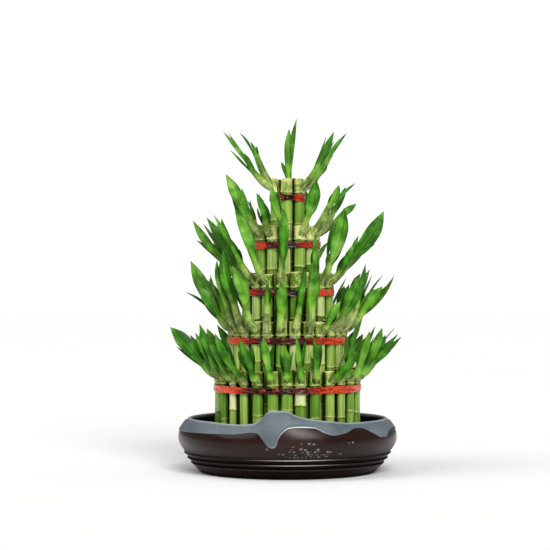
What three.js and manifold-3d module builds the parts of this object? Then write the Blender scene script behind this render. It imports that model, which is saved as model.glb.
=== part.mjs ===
// Lucky bamboo tower: five rings of cut Dracaena stalks, each ring held by a red ribbon, standing in
// water in a round, low ceramic bowl with a waved rim. Millimetres, +Z up, the bowl's foot at z = 0.
// The side that faces the viewer is -Y, and an azimuth of 0 degrees points there.
import * as THREE from 'three';
import { mergeVertices } from 'three/addons/utils/BufferGeometryUtils.js';
import Module from 'manifold-3d';

const wasm = await Module();
wasm.setup();

// Driving dimensions
const INCH = 25.4;
const FLOOR_Z = 9;             // inside floor of the bowl, on which every stalk stands
const WATER_Z = 34;            // still water, about an inch deep
const STALK_SIDES = 6;
const STALK_RADIUS = 6.5;
const TOP_THINNER = 0.3;       // the top ring's stalks have a radius so much smaller
const CENTRE_THINNER = 0.5;    // and the middle stalk's is so much smaller
const CENTRE_HIGHER = 0.8;     // the middle stalk is so much longer than those of the top ring
const RADIUS_SPREAD = 0.1;     // at most so much a stalk is thicker or thinner
const CUT_SPREAD = 1.3;        // at most so much a stalk is cut higher or lower
const CUT_SLANT = 0.12;        // at most so steep is its cut
const PAIR_PART = 13.3;        // between the axes of two stalks whose node ridges have grown together
const FOOT_PART = 0.9;         // such a pair stands this much further apart at the foot
const RIDGE = 0.65;            // a node's ridge stands this far out of a paired stalk
const RIDGE_ALONE = 0.4;       // and of a stalk that is free on both sides
const RIDGE_DROP = 15;         // the last node's ridge lies this far below a stalk's cut top
const RIDGE_SPREAD = 0.3;      // at most so much a ridge lies higher or lower
const SHOOT_DROP = 10.5;       // the shoot leaves the stalk this far below the cut top
const RIBBON_DROP = 20.8;      // middle of the ribbon below the cut top
const RIBBON_THICK = 0.9;
const RIBBON_GAP = 0.35;       // clearance between a ribbon and the stalks inside it
const RIBBON_HALF = 3.9;       // half its width at the sides
const RIBBON_DRAWN = 0.8;      // half its width is so much less in front, where it is drawn together
const KNOT_AZIMUTH = -19;      // degrees from the viewer's side
const KNOT_SECTIONS = [[-4.2, 1.4], [-1.6, 2.9], [1.6, 2.9], [4.2, 1.4]]; // place along it and radius
const WATER_GAP = 0.4;         // clearance between the water and what it touches on its sides
const WATER_SIDES = 28;        // of the round hole in which the stalks stand
const SECTOR_GAP = 0.35;       // each shoot keeps this far inside its own sector of the ring

// One entry for each ring, from the outside in: the radius of the stalks' axes, the stalks' cut
// length, the shoots' mean lean from the vertical in degrees, their mean length, by how much they
// are shorter on the viewer's side, how wide their leaves and how stout their stems are, and how far
// out of the stalk a stem bends up.
const TIERS = [
  { name: 'tier1', ring: 71.7, cut: 4 * INCH,
    tilt: 36, reach: 61, shorter: 0.18, wide: 1, stout: 0.96, elbow: 3 },
  { name: 'tier2', ring: 57.2, cut: 6 * INCH,
    tilt: 31, reach: 69, shorter: 0.14, wide: 1.05, stout: 0.94, elbow: 3 },
  { name: 'tier3', ring: 42.6, cut: 8 * INCH,
    tilt: 31, reach: 75, shorter: 0.08, wide: 1.15, stout: 0.86, elbow: 3 },
  { name: 'tier4', ring: 28.0, cut: 10 * INCH,
    tilt: 29, reach: 62, shorter: 0.05, wide: 1.1, stout: 0.84, elbow: 3 },
  { name: 'tier5', ring: 13.4, cut: 12 * INCH,
    tilt: 32, reach: 71, shorter: 0, wide: 0.95, stout: 0.82, elbow: 6 },
];

// How many pairs, or single stalks, stand evenly in a ring, and the azimuth of the first.
const STANDS = {
  tier2: { pairs: 13, start: 0.7 },
  tier3: { pairs: 9, start: 2 },
  tier4: { pairs: 6, start: -19.7 },
  tier5: { alone: 6, start: -4 },
};

// Azimuths of the outer ring's nodes on the viewer's side, from left to right, which of them are
// pairs, and how thick some single stalks are. The pairs that close the ring behind follow at even
// steps.
const OUTER_RING = [-69.5, -50.6, -38, -24.8, -11.8, 5, 22.6, 36.6, 49.4, 62.3];
const OUTER_PAIRED = [0, 5];
const OUTER_THICK = { 1: 0.84, 2: 0.88, 3: 0.95, 6: 0.95, 7: 0.97, 8: 0.94 };
const OUTER_BEHIND = { pairs: 8, start: 82.5, step: 25.9 };
// Heights of old nodes on the outer ring's stalks on the viewer's side, by the stalk's place in the
// ring. Behind, some stalks have one at a height between the two limits.
const OLD_NODES = [66, 58, 69, 52, 64, 69, 70, 75, 61, 62, 61, 67];
const OLD_NODE_LIMITS = [60, 69];
const OLD_NODE_RIDGE = 0.25;

// The three leaves into which a shoot divides: the side of the shoot's axis that the leaf takes,
// in degrees from outward, its angle from the axis at its foot and at its tip, its length as a
// share of the shoot's, its width, and the places of its cross-sections.
const LEAVES = [
  { turn: 0, open: 14, part: 11, long: 0.92, wide: 11.5, stations: [0.34, 0.68] },
  { turn: 120, open: 14, part: 11, long: 1.0, wide: 11.5, stations: [0.34, 0.68] },
  { turn: 240, open: 16, part: 15, long: 0.76, wide: 9.5, stations: [0.5] },
];
const STEM_SHARE = 0.28;       // of a shoot's length
const STEM_RADII = [3.2, 4.1, 2.9];
const LEAF_MID = 0.6;          // a blade is widest this far along
const LEAF_BASE = 0.36;        // width at a blade's foot, as a share of its widest
const LEAF_THICK = 1.4;        // along the midrib, from face to face
const LEAF_BOW = 0.12;         // at most so much of its length a blade bows to one side
const LEAF_TWIST = 0.3;        // at most so far in radians a blade is twisted
const TWIST_END = 0.45;        // the twist is complete this far along
const LEAF_FOLD = 0.32;        // how far a blade's edges stand up from its midrib, as a share of width

// Shoots that are plain to see, by ring, place of the node and left or right stalk of a pair: how
// far they lean, the azimuth they aim for, their length, the stem's share of it, how they are turned
// about their own axis, how far their leaves are twisted, how far they open at the foot, and for each
// leaf its length, its angle from the axis and its width. A bare stalk has lost its shoot. All others
// are drawn.
const SEEN = {
  '1.0L': { lean: 23, aim: -76, long: 52, leaves: [[1, 4, 0.6], [0.7, 8, 0.7], [0.8, 14, 0.8]] },
  '1.0R': { lean: 20, aim: -66, long: 63, leaves: [[1, 4, 0.75], [0.6, 8, 0.6], [0.6, 10, 0.7]] },
  '1.1': { lean: 29, aim: -57, long: 53, stem: 0.2,
    leaves: [[1, 4, 0.6], [0.6, 14, 0.6], [0.7, 12, 0.7]] },
  '1.2': { lean: 32, aim: -53, long: 60, stem: 0.22,
    leaves: [[1, 4, 0.85], [0.7, 14, 0.7], [0.7, 16, 0.7]] },
  '1.3': { lean: 28, aim: -40, long: 51, stem: 0.18,
    leaves: [[1, 4, 0.75], [0.7, 20, 0.9], [0.75, 26, 1.1]] },
  '1.4': { lean: 19, aim: -30, long: 51, stem: 0.2,
    leaves: [[1, 4, 0.8], [0.7, 22, 0.8], [0.88, 15, 0.75]] },
  '1.5L': { lean: 22, aim: -5, long: 36, stem: 0.16,
    leaves: [[1, 4, 0.75], [0.85, 20, 0.7], [0.8, 20, 0.7]] },
  '1.5R': { lean: 14, aim: -35, long: 51, stem: 0.2,
    leaves: [[1, 4, 0.75], [0.78, 21, 0.8], [0.6, 12, 0.7]] },
  '1.6': { lean: 18, aim: -30, long: 51, stem: 0.2,
    leaves: [[1, 4, 0.8], [0.78, 21, 0.85], [0.6, 16, 0.8]] },
  '1.7': { lean: 43, aim: 50, long: 46, stem: 0.2,
    leaves: [[1, 4, 0.8], [0.8, 16, 0.7], [0.85, 18, 0.7]] },
  '1.8': { lean: 16, aim: 49, long: 59, stem: 0.2,
    leaves: [[1, 4, 0.6], [0.75, 14, 0.8], [0.75, 18, 0.8]] },
  '1.9': { lean: 18, aim: 62, long: 54, stem: 0.22,
    leaves: [[1, 4, 0.8], [0.7, 14, 0.6], [0.7, 15, 0.6]] },
  '1.10L': { lean: 22, aim: 77, long: 59, leaves: [[1, 4, 0.9], [0.7, 8, 0.6], [0.6, 8, 0.6]] },
  '1.10R': { lean: 38, aim: 87, long: 62, leaves: [[0.8, 4, 0.9], [0.95, 11, 0.8], [1, 8, 0.35]] },
  '1.11L': { lean: 33, aim: 100, long: 58 },
  '1.17L': { lean: 36, aim: -102, long: 56 },
  '1.17R': { lean: 41, aim: -91, long: 69, leaves: [[1, 3, 1.5], [0.8, 10, 0.8], [0.65, 18, 0.7]] },
  '2.0L': { lean: 20, aim: 0, long: 54, leaves: [[1, 4, 1.15], [0.7, 10, 0.6], [0.85, 12, 0.7]] },
  '2.0R': { lean: 18, aim: 30, long: 69, leaves: [[1, 4, 0.6], [0.5, 8, 0.6], [0.6, 8, 0.6]] },
  '2.1L': { lean: 18, aim: 5, long: 81, leaves: [[0.95, 4, 1.75], [1, 6, 0.5], [0.5, 8, 0.7]] },
  '2.1R': { lean: 35, aim: 50, long: 40, leaves: [[1, 4, 0.8], [0.6, 8, 0.6], [0.6, 8, 0.6]] },
  '2.2L': { lean: 29, aim: 52, long: 60, leaves: [[1, 4, 1.35], [0.8, 8, 0.5], [0.6, 10, 0.6]] },
  '2.2R': { lean: 20, aim: 63, long: 75, stem: 0.35,
    leaves: [[1, 4, 0.55], [0.7, 6, 0.5], [0.65, 12, 0.5]] },
  '2.3L': { lean: 20, aim: 77, long: 68, stem: 0.4,
    leaves: [[1, 4, 0.65], [0.5, 8, 0.6], [0.5, 8, 0.6]] },
  '2.3R': { lean: 37, aim: 90, long: 76, leaves: [[0.68, 5, 1.1], [1, 4, 0.9], [0.9, 9, 0.35]] },
  '2.4L': { lean: 33, aim: 103, long: 62 },
  '2.9R': { lean: 28, aim: -100, long: 66 },
  '2.10L': { lean: 27, aim: -89, long: 83, stem: 0.2,
    leaves: [[1, 3, 1.3], [0.6, 8, 0.7], [0.69, 32, 0.8]] },
  '2.10R': { lean: 33, aim: -76, long: 56, leaves: [[1, 4, 1.1], [0.9, 10, 0.7], [0.7, 8, 0.7]] },
  '2.11L': { lean: 13.5, aim: -61, long: 78, stem: 0.42,
    leaves: [[1, 4, 0.6], [0.6, 5, 0.7], [0.5, 9, 0.6]] },
  '2.11R': { lean: 15, aim: -48, long: 90, stem: 0.35,
    leaves: [[1, 3, 1.05], [0.6, 7, 0.6], [0.55, 8, 0.6]] },
  '2.12L': { lean: 23, aim: -44, long: 74, stem: 0.36,
    leaves: [[1, 3, 1.3], [0.95, 8, 0.5], [0.5, 8, 0.7]] },
  '2.12R': { lean: 18, aim: 18, long: 62, stem: 0.45,
    leaves: [[1, 4, 0.7], [0.7, 6, 0.6], [0.6, 6, 0.5]] },
  '3.0L': { lean: 14, aim: 8, long: 79, leaves: [[1, 3, 0.9], [0.7, 8, 0.6], [0.62, 8, 0.6]] },
  '3.0R': { bare: true },
  '3.1L': { lean: 20, aim: 0, long: 51, leaves: [[1, 4, 0.55], [0.5, 8, 0.5], [0.5, 8, 0.5]] },
  '3.1R': { lean: 17.5, aim: 51, long: 82, leaves: [[1, 3, 1.25], [0.6, 7, 0.6], [0.72, 10, 0.5]] },
  '3.2L': { lean: 27, aim: 73, long: 47, leaves: [[1, 3, 0.65], [0.98, 12, 0.5], [0.6, 5, 0.6]] },
  '3.2R': { lean: 34, aim: 91, long: 92, leaves: [[1, 3, 1.35], [0.52, 25, 0.5], [0.45, 17, 0.8]] },
  '3.3L': { lean: 38, aim: 105, long: 60 },
  '3.6R': { lean: 31, aim: -105, long: 64 },
  '3.7L': { lean: 37, aim: -88, long: 83, leaves: [[1, 4, 0.72], [0.85, 8, 0.6], [0.7, 16, 0.8]] },
  '3.7R': { lean: 30, aim: -69, long: 80, leaves: [[1, 3, 0.78], [0.8, 8, 0.6], [0.7, 8, 0.6]] },
  '3.8L': { lean: 31, aim: -66, long: 84, leaves: [[1, 3, 0.48], [0.45, 8, 0.6], [0.5, 8, 0.6]] },
  '3.8R': { lean: 26, aim: -59, long: 91, leaves: [[1, 3, 1.12], [0.5, 8, 0.6], [0.45, 8, 0.6]] },
  '4.0L': { lean: 20, aim: -50, long: 47, leaves: [[1, 4, 0.65], [0.6, 8, 0.5], [0.55, 12, 0.45]] },
  '4.0R': { lean: 24, aim: -36, long: 61, leaves: [[0.88, 5, 0.85], [1, 9, 0.5], [0.6, 8, 0.6]] },
  '4.1L': { lean: 22, aim: 36, long: 62, leaves: [[1, 4, 1.15], [0.5, 8, 0.5], [0.6, 6, 0.5]] },
  '4.1R': { lean: 28, aim: 60, long: 64, stem: 0.58,
    leaves: [[0.86, 4, 0.65], [1.3, 31, 0.5], [0.5, 8, 0.5]] },
  '4.2L': { lean: 26, aim: 80, long: 58, stem: 0.5, leaves: [[1, 3, 0.5], [0.9, 6, 0.4], [0.7, 8, 0.4]] },
  '4.2R': { lean: 50, aim: 100, long: 54, stem: 0.5,
    leaves: [[1, 4, 0.7], [0.5, 8, 0.5], [0.5, 8, 0.5]] },
  '4.3L': { lean: 10, aim: 180, long: 48 },
  '4.4L': { lean: 22, aim: -125, long: 49, leaves: [[1, 4, 0.6], [0.7, 8, 0.5], [0.6, 8, 0.5]] },
  '4.4R': { lean: 28, aim: -122, long: 60, leaves: [[1, 4, 0.6], [0.6, 8, 0.5], [0.5, 10, 0.5]] },
  '4.5L': { lean: 24, aim: -92, long: 72, leaves: [[1, 3, 1.1], [0.7, 8, 0.7], [0.6, 6, 0.7]] },
  '4.5R': { lean: 18, aim: -66, long: 52, leaves: [[1, 4, 0.6], [0.6, 14, 0.5], [0.75, 10, 0.6]] },
  '5.0': { bare: true },
  '5.1': { lean: 27.6, aim: 68, long: 66, open: 7, leaves: [[1, 4, 0.7], [0.8, 8, 0.5], [0.8, 9, 0.5]] },
  '5.2': { lean: 34.7, aim: 100, long: 75, open: 5, leaves: [[1, 3, 0.5], [0.4, 4, 0.4], [0.5, 8, 0.5]] },
  '5.3': { lean: 5, aim: 180, long: 76, stem: 0.12, turn: -180, open: 4, twist: [0, 40, -40],
    leaves: [[0.86, 2, 0.95], [1.06, 8, 0.6], [0.36, 26, 0.6]] },
  '5.4': { lean: 20.6, aim: -108, long: 69, stem: 0.58, turn: 0, open: 5, twist: [50, 0, 0],
    leaves: [[1.04, 17, 0.55], [0.38, 6, 0.45], [0.36, 38, 0.5]] },
  '5.5': { lean: 37.8, aim: -80, long: 76, open: 4,
    leaves: [[1, 2, 0.5], [0.93, 5, 0.42], [0.62, 12, 0.45]] },
};

const rad = THREE.MathUtils.degToRad;

// A repeatable draw between 0 and 1 for stalk s of tier t, item k.
function draw(t, s, k) {
  const x = Math.sin(t * 127.1 + s * 311.7 + k * 74.7 + 0.5) * 43758.5453;
  return x - Math.floor(x);
}

function spread(t, s, k, amount) {
  return (2 * draw(t, s, k) - 1) * amount;
}

// Eased step from 0 to 1.
function smooth(x) {
  const u = Math.min(1, Math.max(0, x));
  return u * u * (3 - 2 * u);
}

// Height at x of a line drawn softly through knots, with no overshoot between them.
function alongLine(knots, x) {
  const slope = (k) => (knots[k + 1][1] - knots[k][1]) / (knots[k + 1][0] - knots[k][0]);
  const steep = (k) => {
    if (k === 0 || k === knots.length - 1) return 0;
    const [before, after] = [slope(k - 1), slope(k)];
    return before * after > 0 ? (2 * before * after) / (before + after) : 0;
  };
  const found = knots.findIndex(([a]) => a >= x);
  const k = Math.max(0, (found < 0 ? knots.length - 1 : found) - 1);
  const h = knots[k + 1][0] - knots[k][0];
  const u = (x - knots[k][0]) / h;
  const rise = knots[k][1] * (1 + 2 * u) * (1 - u) ** 2 + knots[k + 1][1] * u * u * (3 - 2 * u);
  return rise + h * (steep(k) * u * (1 - u) ** 2 - steep(k + 1) * u * u * (1 - u));
}

// A closed surface through rings of points. A ring of one point is a tip.
function loft(rings) {
  const points = rings.flat();
  const faces = [];
  let start = 0;
  for (let k = 0; k + 1 < rings.length; k++) {
    const n = rings[k].length;
    const m = rings[k + 1].length;
    const next = start + n;
    const count = Math.max(n, m);
    for (let i = 0; i < count; i++) {
      const j = (i + 1) % count;
      if (n > 1) faces.push([start + i, start + j, m > 1 ? next + j : next]);
      if (m > 1) faces.push([n > 1 ? start + i : start, next + j, next + i]);
    }
    start = next;
  }
  const cap = (ring, first, flip) => {
    for (let i = 1; i + 1 < ring.length; i++) {
      faces.push(flip ? [first, first + i + 1, first + i] : [first, first + i, first + i + 1]);
    }
  };
  cap(rings[0], 0, true);
  cap(rings[rings.length - 1], start, false);
  return solid(points, faces);
}

// A manifold from points and triangles, turned so that its faces point out.
function solid(points, faces) {
  const geometry = new THREE.BufferGeometry().setFromPoints(points);
  geometry.setIndex(faces.flat());
  const merged = mergeVertices(geometry, 1e-4);
  const made = (index) => new wasm.Manifold(new wasm.Mesh({
    numProp: 3,
    vertProperties: merged.attributes.position.array,
    triVerts: index,
  }));
  const index = new Uint32Array(merged.index.array);
  const first = made(index);
  if (first.volume() > 0) return first;
  for (let i = 0; i < index.length; i += 3) [index[i + 1], index[i + 2]] = [index[i + 2], index[i + 1]];
  return made(index);
}

// The largest single body of a solid, as a named mesh.
function meshOf(name, manifold, material) {
  const bodies = manifold.decompose().sort((a, b) => b.volume() - a.volume());
  const { vertProperties, triVerts } = bodies[0].getMesh();
  const geometry = new THREE.BufferGeometry();
  geometry.setAttribute('position', new THREE.BufferAttribute(vertProperties, 3));
  geometry.setIndex(new THREE.BufferAttribute(triVerts, 1));
  geometry.computeVertexNormals();
  const mesh = new THREE.Mesh(geometry, material);
  mesh.name = name;
  return mesh;
}

function fuse(parts) {
  return parts.reduce((sum, part) => sum.add(part));
}

// A ring of points about a centre in the plane of two directions.
function ringAbout(centre, a, b, radius, sides, turn = 0) {
  return Array.from({ length: sides }, (_, i) => {
    const angle = turn + (2 * Math.PI * i) / sides;
    return centre.clone()
      .addScaledVector(a, radius * Math.cos(angle))
      .addScaledVector(b, radius * Math.sin(angle));
  });
}

const vec = (x, y, z) => new THREE.Vector3(x, y, z);
const UP = vec(0, 0, 1);

// The bowl

// Outer wall from the foot to the belly, as radius and height: three turned grooves, each under a
// small ledge.
const FOOT = [[92.5, 0], [94.6, 0.9], [103.9, 10.0], [102.7, 11.1], [107.9, 15.2], [106.7, 16.3],
  [111.3, 20.8], [110.1, 21.9]];
const BELLY = { r: 117.4, z: 37 };
const RIM = { r: 106.8, inner: 103.6, z: 57.6 };
const INNER = [[108.4, 45], [110.4, 36], [106.0, 20], [92.0, FLOOR_Z]];
const GLAZE_THICK = 0.9;
// Height of the rim, with its crest towards the viewer, and of the glaze's lower edge, by azimuth
// all the way round. The glaze's runs behind are a guess.
const RIM_LINE = [
  [-180, 57.6], [-52, 57.6], [-30, 56.4], [-19.5, 57.8], [-16, 60.5], [-13.5, 65.1], [-11.3, 69.4],
  [-9, 71.2], [-2, 71.4], [1.5, 70], [3, 67.9], [7, 65.1], [15, 62.1], [25, 59.8], [38, 57.6],
  [180, 57.6],
];
const DRIP_LINE = [
  [-180, 44], [-162, 47], [-148, 39], [-135, 46], [-112, 47], [-90, 44.5], [-62, 45.5], [-40, 46.4],
  [-28, 47], [-19, 49.2], [-16, 49], [-12.4, 42.8], [-10.5, 37.6], [-8.4, 34.2], [-6.8, 34.3],
  [-5.6, 36.9], [-4.9, 41.5], [-3.5, 47.4], [1, 54], [6, 54.7], [13.5, 54], [19.6, 48.6], [24, 46.3],
  [31, 48.1], [38.5, 52.3], [42.2, 52.1], [50.2, 46.3], [56, 41.6], [60.5, 41.2], [67.3, 46.7], [78, 49],
  [92, 45], [105, 49], [118, 43], [132, 36.5], [146, 45], [165, 48], [180, 44],
];
const rimHeight = (azimuth) => alongLine(RIM_LINE, azimuth);
const dripHeight = (azimuth) => alongLine(DRIP_LINE, azimuth);

// Radius of the belly and shoulder at height z, where the rim stands at height top.
function shoulderRadius(z, top) {
  if (z < BELLY.z) {
    const [r0, z0] = FOOT[FOOT.length - 1];
    const t = (z - z0) / (BELLY.z - z0);
    return r0 + (BELLY.r - r0) * Math.sin((t * Math.PI) / 2);
  }
  const s = Math.min(1, (z - BELLY.z) / (top - BELLY.z));
  return BELLY.r - (BELLY.r - RIM.r) * Math.pow(1 - Math.cos((s * Math.PI) / 2), 1.15);
}

// Azimuths of the bowl's columns: close together where the viewer sees the crest and the runs.
function columns() {
  const list = [];
  for (let a = -175; a < -75; a += 12.5) list.push(a);
  for (let a = -75; a < -28; a += 11.5) list.push(a);
  list.push(-28, -20, -16, -13.5, -11, -8.8, -6.5, -4.5, -2, 1.5, 6, 13.5, 20, 25);
  for (let a = 31; a < 76; a += 6.2) list.push(a);
  for (let a = 81; a < 180; a += 12) list.push(a);
  return list;
}

function around(radius, z, azimuth) {
  return vec(radius * Math.sin(rad(azimuth)), -radius * Math.cos(rad(azimuth)), z);
}

function bowl() {
  const angles = columns();
  const row = (shape) => angles.map((a) => {
    const [r, z] = shape(a);
    return around(r, z, a);
  });
  const rings = FOOT.map(([r, z]) => row(() => [r, z]));
  // The clay's belly, up to just under the glaze.
  rings.push(row((a) => {
    const z = (FOOT.at(-1)[1] + dripHeight(a)) / 2;
    return [shoulderRadius(z, rimHeight(a)), z];
  }));
  rings.push(row((a) => [shoulderRadius(dripHeight(a), rimHeight(a)), dripHeight(a)]));
  rings.push(row((a) => {
    const z = dripHeight(a) + 0.7;
    return [shoulderRadius(z, rimHeight(a)) + GLAZE_THICK, z];
  }));
  rings.push(row((a) => {
    const z = dripHeight(a) + 0.62 * (rimHeight(a) - 2 - dripHeight(a));
    return [shoulderRadius(z, rimHeight(a)) + GLAZE_THICK, z];
  }));
  rings.push(row((a) => [RIM.r + 0.6, rimHeight(a) - 0.9]));
  rings.push(row((a) => [RIM.r - 1.3, rimHeight(a)]));
  rings.push(row((a) => [RIM.inner, rimHeight(a) - 2.2]));
  for (const [r, z] of INNER) rings.push(row(() => [r, z]));
  return loft(rings);
}

// Radius of the bowl's inner wall at height z, between the rows of INNER.
function innerRadius(z) {
  const k = INNER.findIndex(([, zk]) => zk <= z);
  const [r1, z1] = INNER[k];
  const [r0, z0] = INNER[k - 1];
  return r0 + ((r1 - r0) * (z0 - z)) / (z0 - z1);
}

// The stalks

// The nodes of a ring: the azimuth that each stands at and whether it holds a pair of stalks.
function standsOf(tier) {
  const form = STANDS[tier.name];
  if (form) {
    const count = form.pairs ?? form.alone;
    return Array.from({ length: count }, (_, n) =>
      ({ azimuth: form.start + (360 * n) / count, pair: Boolean(form.pairs) }));
  }
  const seen = OUTER_RING.map((azimuth, n) => ({ azimuth, pair: OUTER_PAIRED.includes(n) }));
  const behind = Array.from({ length: OUTER_BEHIND.pairs }, (_, n) =>
    ({ azimuth: OUTER_BEHIND.start + n * OUTER_BEHIND.step, pair: true }));
  return [...seen, ...behind];
}

// Every stalk of a ring, in order round it, each with its azimuth and the sector it has to itself:
// from halfway to its left neighbour to halfway to its right one.
function stalksOf(tier, t) {
  const lean = Math.asin(PAIR_PART / 2 / tier.ring);
  const list = standsOf(tier).flatMap(({ azimuth, pair }, node) =>
    (pair ? [-1, 1] : [0]).map((side) =>
      ({ tier, t, node, side, pair, facing: rad(azimuth), angle: side * lean })));
  list.forEach((st, s) => {
    const before = list[(s + list.length - 1) % list.length];
    const after = list[(s + 1) % list.length];
    const own = st.facing + st.angle;
    const turnTo = (other) => {
      const d = other.facing + other.angle - own;
      return Math.atan2(Math.sin(d), Math.cos(d)) / 2;
    };
    st.s = s;
    st.low = st.angle + turnTo(before);
    st.high = st.angle + turnTo(after);
    const thick = t === 0 ? OUTER_THICK[st.node] ?? 1 : 1;
    st.radius = STALK_RADIUS * thick - (t === 4 ? TOP_THINNER : 0) + spread(t, s, 2, RADIUS_SPREAD);
    st.ridge = st.radius + (st.pair ? RIDGE : RIDGE_ALONE);
    st.top = FLOOR_Z + tier.cut + spread(t, s, 1, CUT_SPREAD);
    st.collar = FLOOR_Z + tier.cut - RIDGE_DROP + spread(t, s, 8, RIDGE_SPREAD);
    st.head = axisPoint(tier.ring, st.angle, st.top);
    st.foot = axisPoint(tier.ring, st.angle + (st.side * FOOT_PART) / 2 / tier.ring, FLOOR_Z);
  });
  return list;
}

// A point in a node's own frame, where -Y is outward and +X to the right as seen from outside.
function axisPoint(radius, angle, z) {
  return vec(radius * Math.sin(angle), -radius * Math.cos(angle), z);
}

// A stalk: round, with the ridge of its last node under the cut top. It is upright above the ribbon,
// and one of a pair leans a little below it.
function stalk(st) {
  const bend = st.top - RIBBON_DROP;
  const axisAt = (z) => {
    const share = Math.max(0, (bend - z) / (bend - FLOOR_Z));
    return st.head.clone().setZ(z).addScaledVector(st.foot.clone().sub(st.head).setZ(0), share);
  };
  const slant = vec(spread(st.t, st.s, 4, CUT_SLANT), spread(st.t, st.s, 5, CUT_SLANT), 0);
  const ring = (z, r) => ringAbout(axisAt(z), vec(1, 0, 0), vec(0, 1, 0), r, STALK_SIDES);
  const rings = [ring(FLOOR_Z, st.radius)];
  if (st.t === 0 && (OLD_NODES[st.s] || draw(0, st.s, 6) > 0.6)) {
    // An older node low down, near the bowl's rim.
    const [from, to] = OLD_NODE_LIMITS;
    const low = OLD_NODES[st.s] ?? from + (to - from) * draw(0, st.s, 7);
    rings.push(ring(low, st.radius + OLD_NODE_RIDGE));
  }
  rings.push(ring(st.collar - 1.5, st.radius - 0.05), ring(st.collar, st.ridge));
  const head = ring(st.top, st.radius - 0.15);
  for (const p of head) p.z += p.clone().sub(axisAt(st.top)).dot(slant);
  rings.push(head);
  return loft(rings);
}

// The shoots

// Lean, swing, length, stem and leaves of a stalk's shoot, as set for it or drawn.
function shootOf(st) {
  const { t, s } = st;
  const side = { '-1': 'L', 0: '', 1: 'R' }[st.side];
  const seen = SEEN[`${t + 1}.${st.node}${side}`];
  const azimuth = THREE.MathUtils.radToDeg(st.facing + st.angle);
  const aim = seen?.aim ?? azimuth + spread(t, s, 12, 12);
  const front = 1 - st.tier.shorter * Math.max(0, Math.cos(rad(azimuth))) ** 2;
  const leaves = seen?.leaves ?? LEAVES.map((form, n) => [
    form.long * (1 + spread(t, s, 20 + n, 0.14)),
    form.part + spread(t, s, 30 + n, 5),
    1 + spread(t, s, 34 + n, 0.2),
  ]);
  const twist = seen?.twist ?? [0, 0, 0];
  return {
    bare: seen?.bare ?? false,
    tilt: seen?.lean ?? st.tier.tilt + spread(t, s, 11, 6),
    swing: aim - azimuth,
    reach: seen?.long ?? st.tier.reach * front * (1 + spread(t, s, 13, 0.1)),
    stem: seen?.stem ?? STEM_SHARE + spread(t, s, 16, 0.05),
    open: seen?.open,
    turn: seen?.turn ?? (seen ? -aim : spread(t, s, 15, 60)),
    leaves: leaves.map(([long, part, broad], n) => ({
      long,
      part,
      wide: LEAVES[n].wide * st.tier.wide * broad,
      twist: rad(twist[n]) + spread(t, s, 100 + n, LEAF_TWIST),
    })),
  };
}

// Keeps a point inside its stalk's own sector by easing its azimuth towards the sector's edge.
function bendClear(p, st) {
  const r = Math.hypot(p.x, p.y);
  const middle = (st.low + st.high) / 2;
  const limit = (st.high - st.low) / 2 - SECTOR_GAP / r;
  const off = Math.atan2(p.x, -p.y) - middle;
  const free = 0.6 * limit;
  const over = Math.abs(off) - free;
  if (over <= 0) return p;
  const eased = middle + Math.sign(off) * (free + (limit - free) * Math.tanh(over / (limit - free)));
  return p.set(r * Math.sin(eased), -r * Math.cos(eased), p.z);
}

// A shoot: a six-sided stem that leaves the stalk outward and bends up, and divides into three
// leaves, each of which starts from a third of the stem's end.
function shoot(st) {
  const sh = shootOf(st);
  const out = vec(Math.sin(st.angle), -Math.cos(st.angle), 0);
  const level = out.clone().applyAxisAngle(UP, rad(sh.swing));
  const axis = UP.clone().multiplyScalar(Math.cos(rad(sh.tilt)))
    .addScaledVector(level, Math.sin(rad(sh.tilt)));
  const a = level.clone().addScaledVector(axis, -level.dot(axis)).normalize();
  const b = axis.clone().cross(a);
  const root = st.head.clone().setZ(st.top - SHOOT_DROP);
  const bend = root.clone().addScaledVector(out, st.radius + st.tier.elbow).addScaledVector(UP, 1);
  const end = bend.clone().addScaledVector(axis, sh.stem * sh.reach);

  const points = [];
  const faces = [];
  const add = (list) => {
    list.forEach((p) => points.push(bendClear(p, st)));
    return list.map((_, i) => points.length - list.length + i);
  };
  const curve = new THREE.QuadraticBezierCurve3(root, bend, end);
  const rings = [0.12, 0.5, 1].map((t, k) => {
    const tangent = curve.getTangent(t);
    const over = b.clone().addScaledVector(tangent, -b.dot(tangent)).normalize();
    const up = over.clone().cross(tangent);
    const radius = STEM_RADII[k] * st.tier.stout;
    return add(ringAbout(curve.getPoint(t), up, over, radius, 6, rad(sh.turn - 60)));
  });
  for (let k = 0; k < 2; k++) {
    for (let i = 0; i < 6; i++) {
      const [p, q, r, s] = [rings[k][i], rings[k][(i + 1) % 6], rings[k + 1][(i + 1) % 6], rings[k + 1][i]];
      faces.push([p, q, r], [p, r, s]);
    }
  }
  for (let i = 1; i < 5; i++) faces.push([rings[0][0], rings[0][i + 1], rings[0][i]]);
  const [middle] = add([end.clone()]);

  LEAVES.forEach((form, n) => {
    const turn = rad(sh.turn + form.turn);
    const away = a.clone().multiplyScalar(Math.cos(turn)).addScaledVector(b, Math.sin(turn));
    const last = rings[2];
    let from = [last[2 * n], last[2 * n + 1], last[(2 * n + 2) % 6], middle];
    for (const section of leafSections(st, sh, form, n, end, axis, away)) {
      const to = add(section);
      faces.push(...(to.length === 1 ? leafTip(from, to[0]) : leafSkin(from, to)));
      from = to;
    }
  });
  return solid(points, faces);
}

// Width along a blade, as a share of its widest.
function bladeWidth(t) {
  if (t < LEAF_MID) return LEAF_BASE + (1 - LEAF_BASE) * Math.sin((t / LEAF_MID) * (Math.PI / 2));
  return Math.cos(((t - LEAF_MID) / (1 - LEAF_MID)) * (Math.PI / 2));
}

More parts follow.
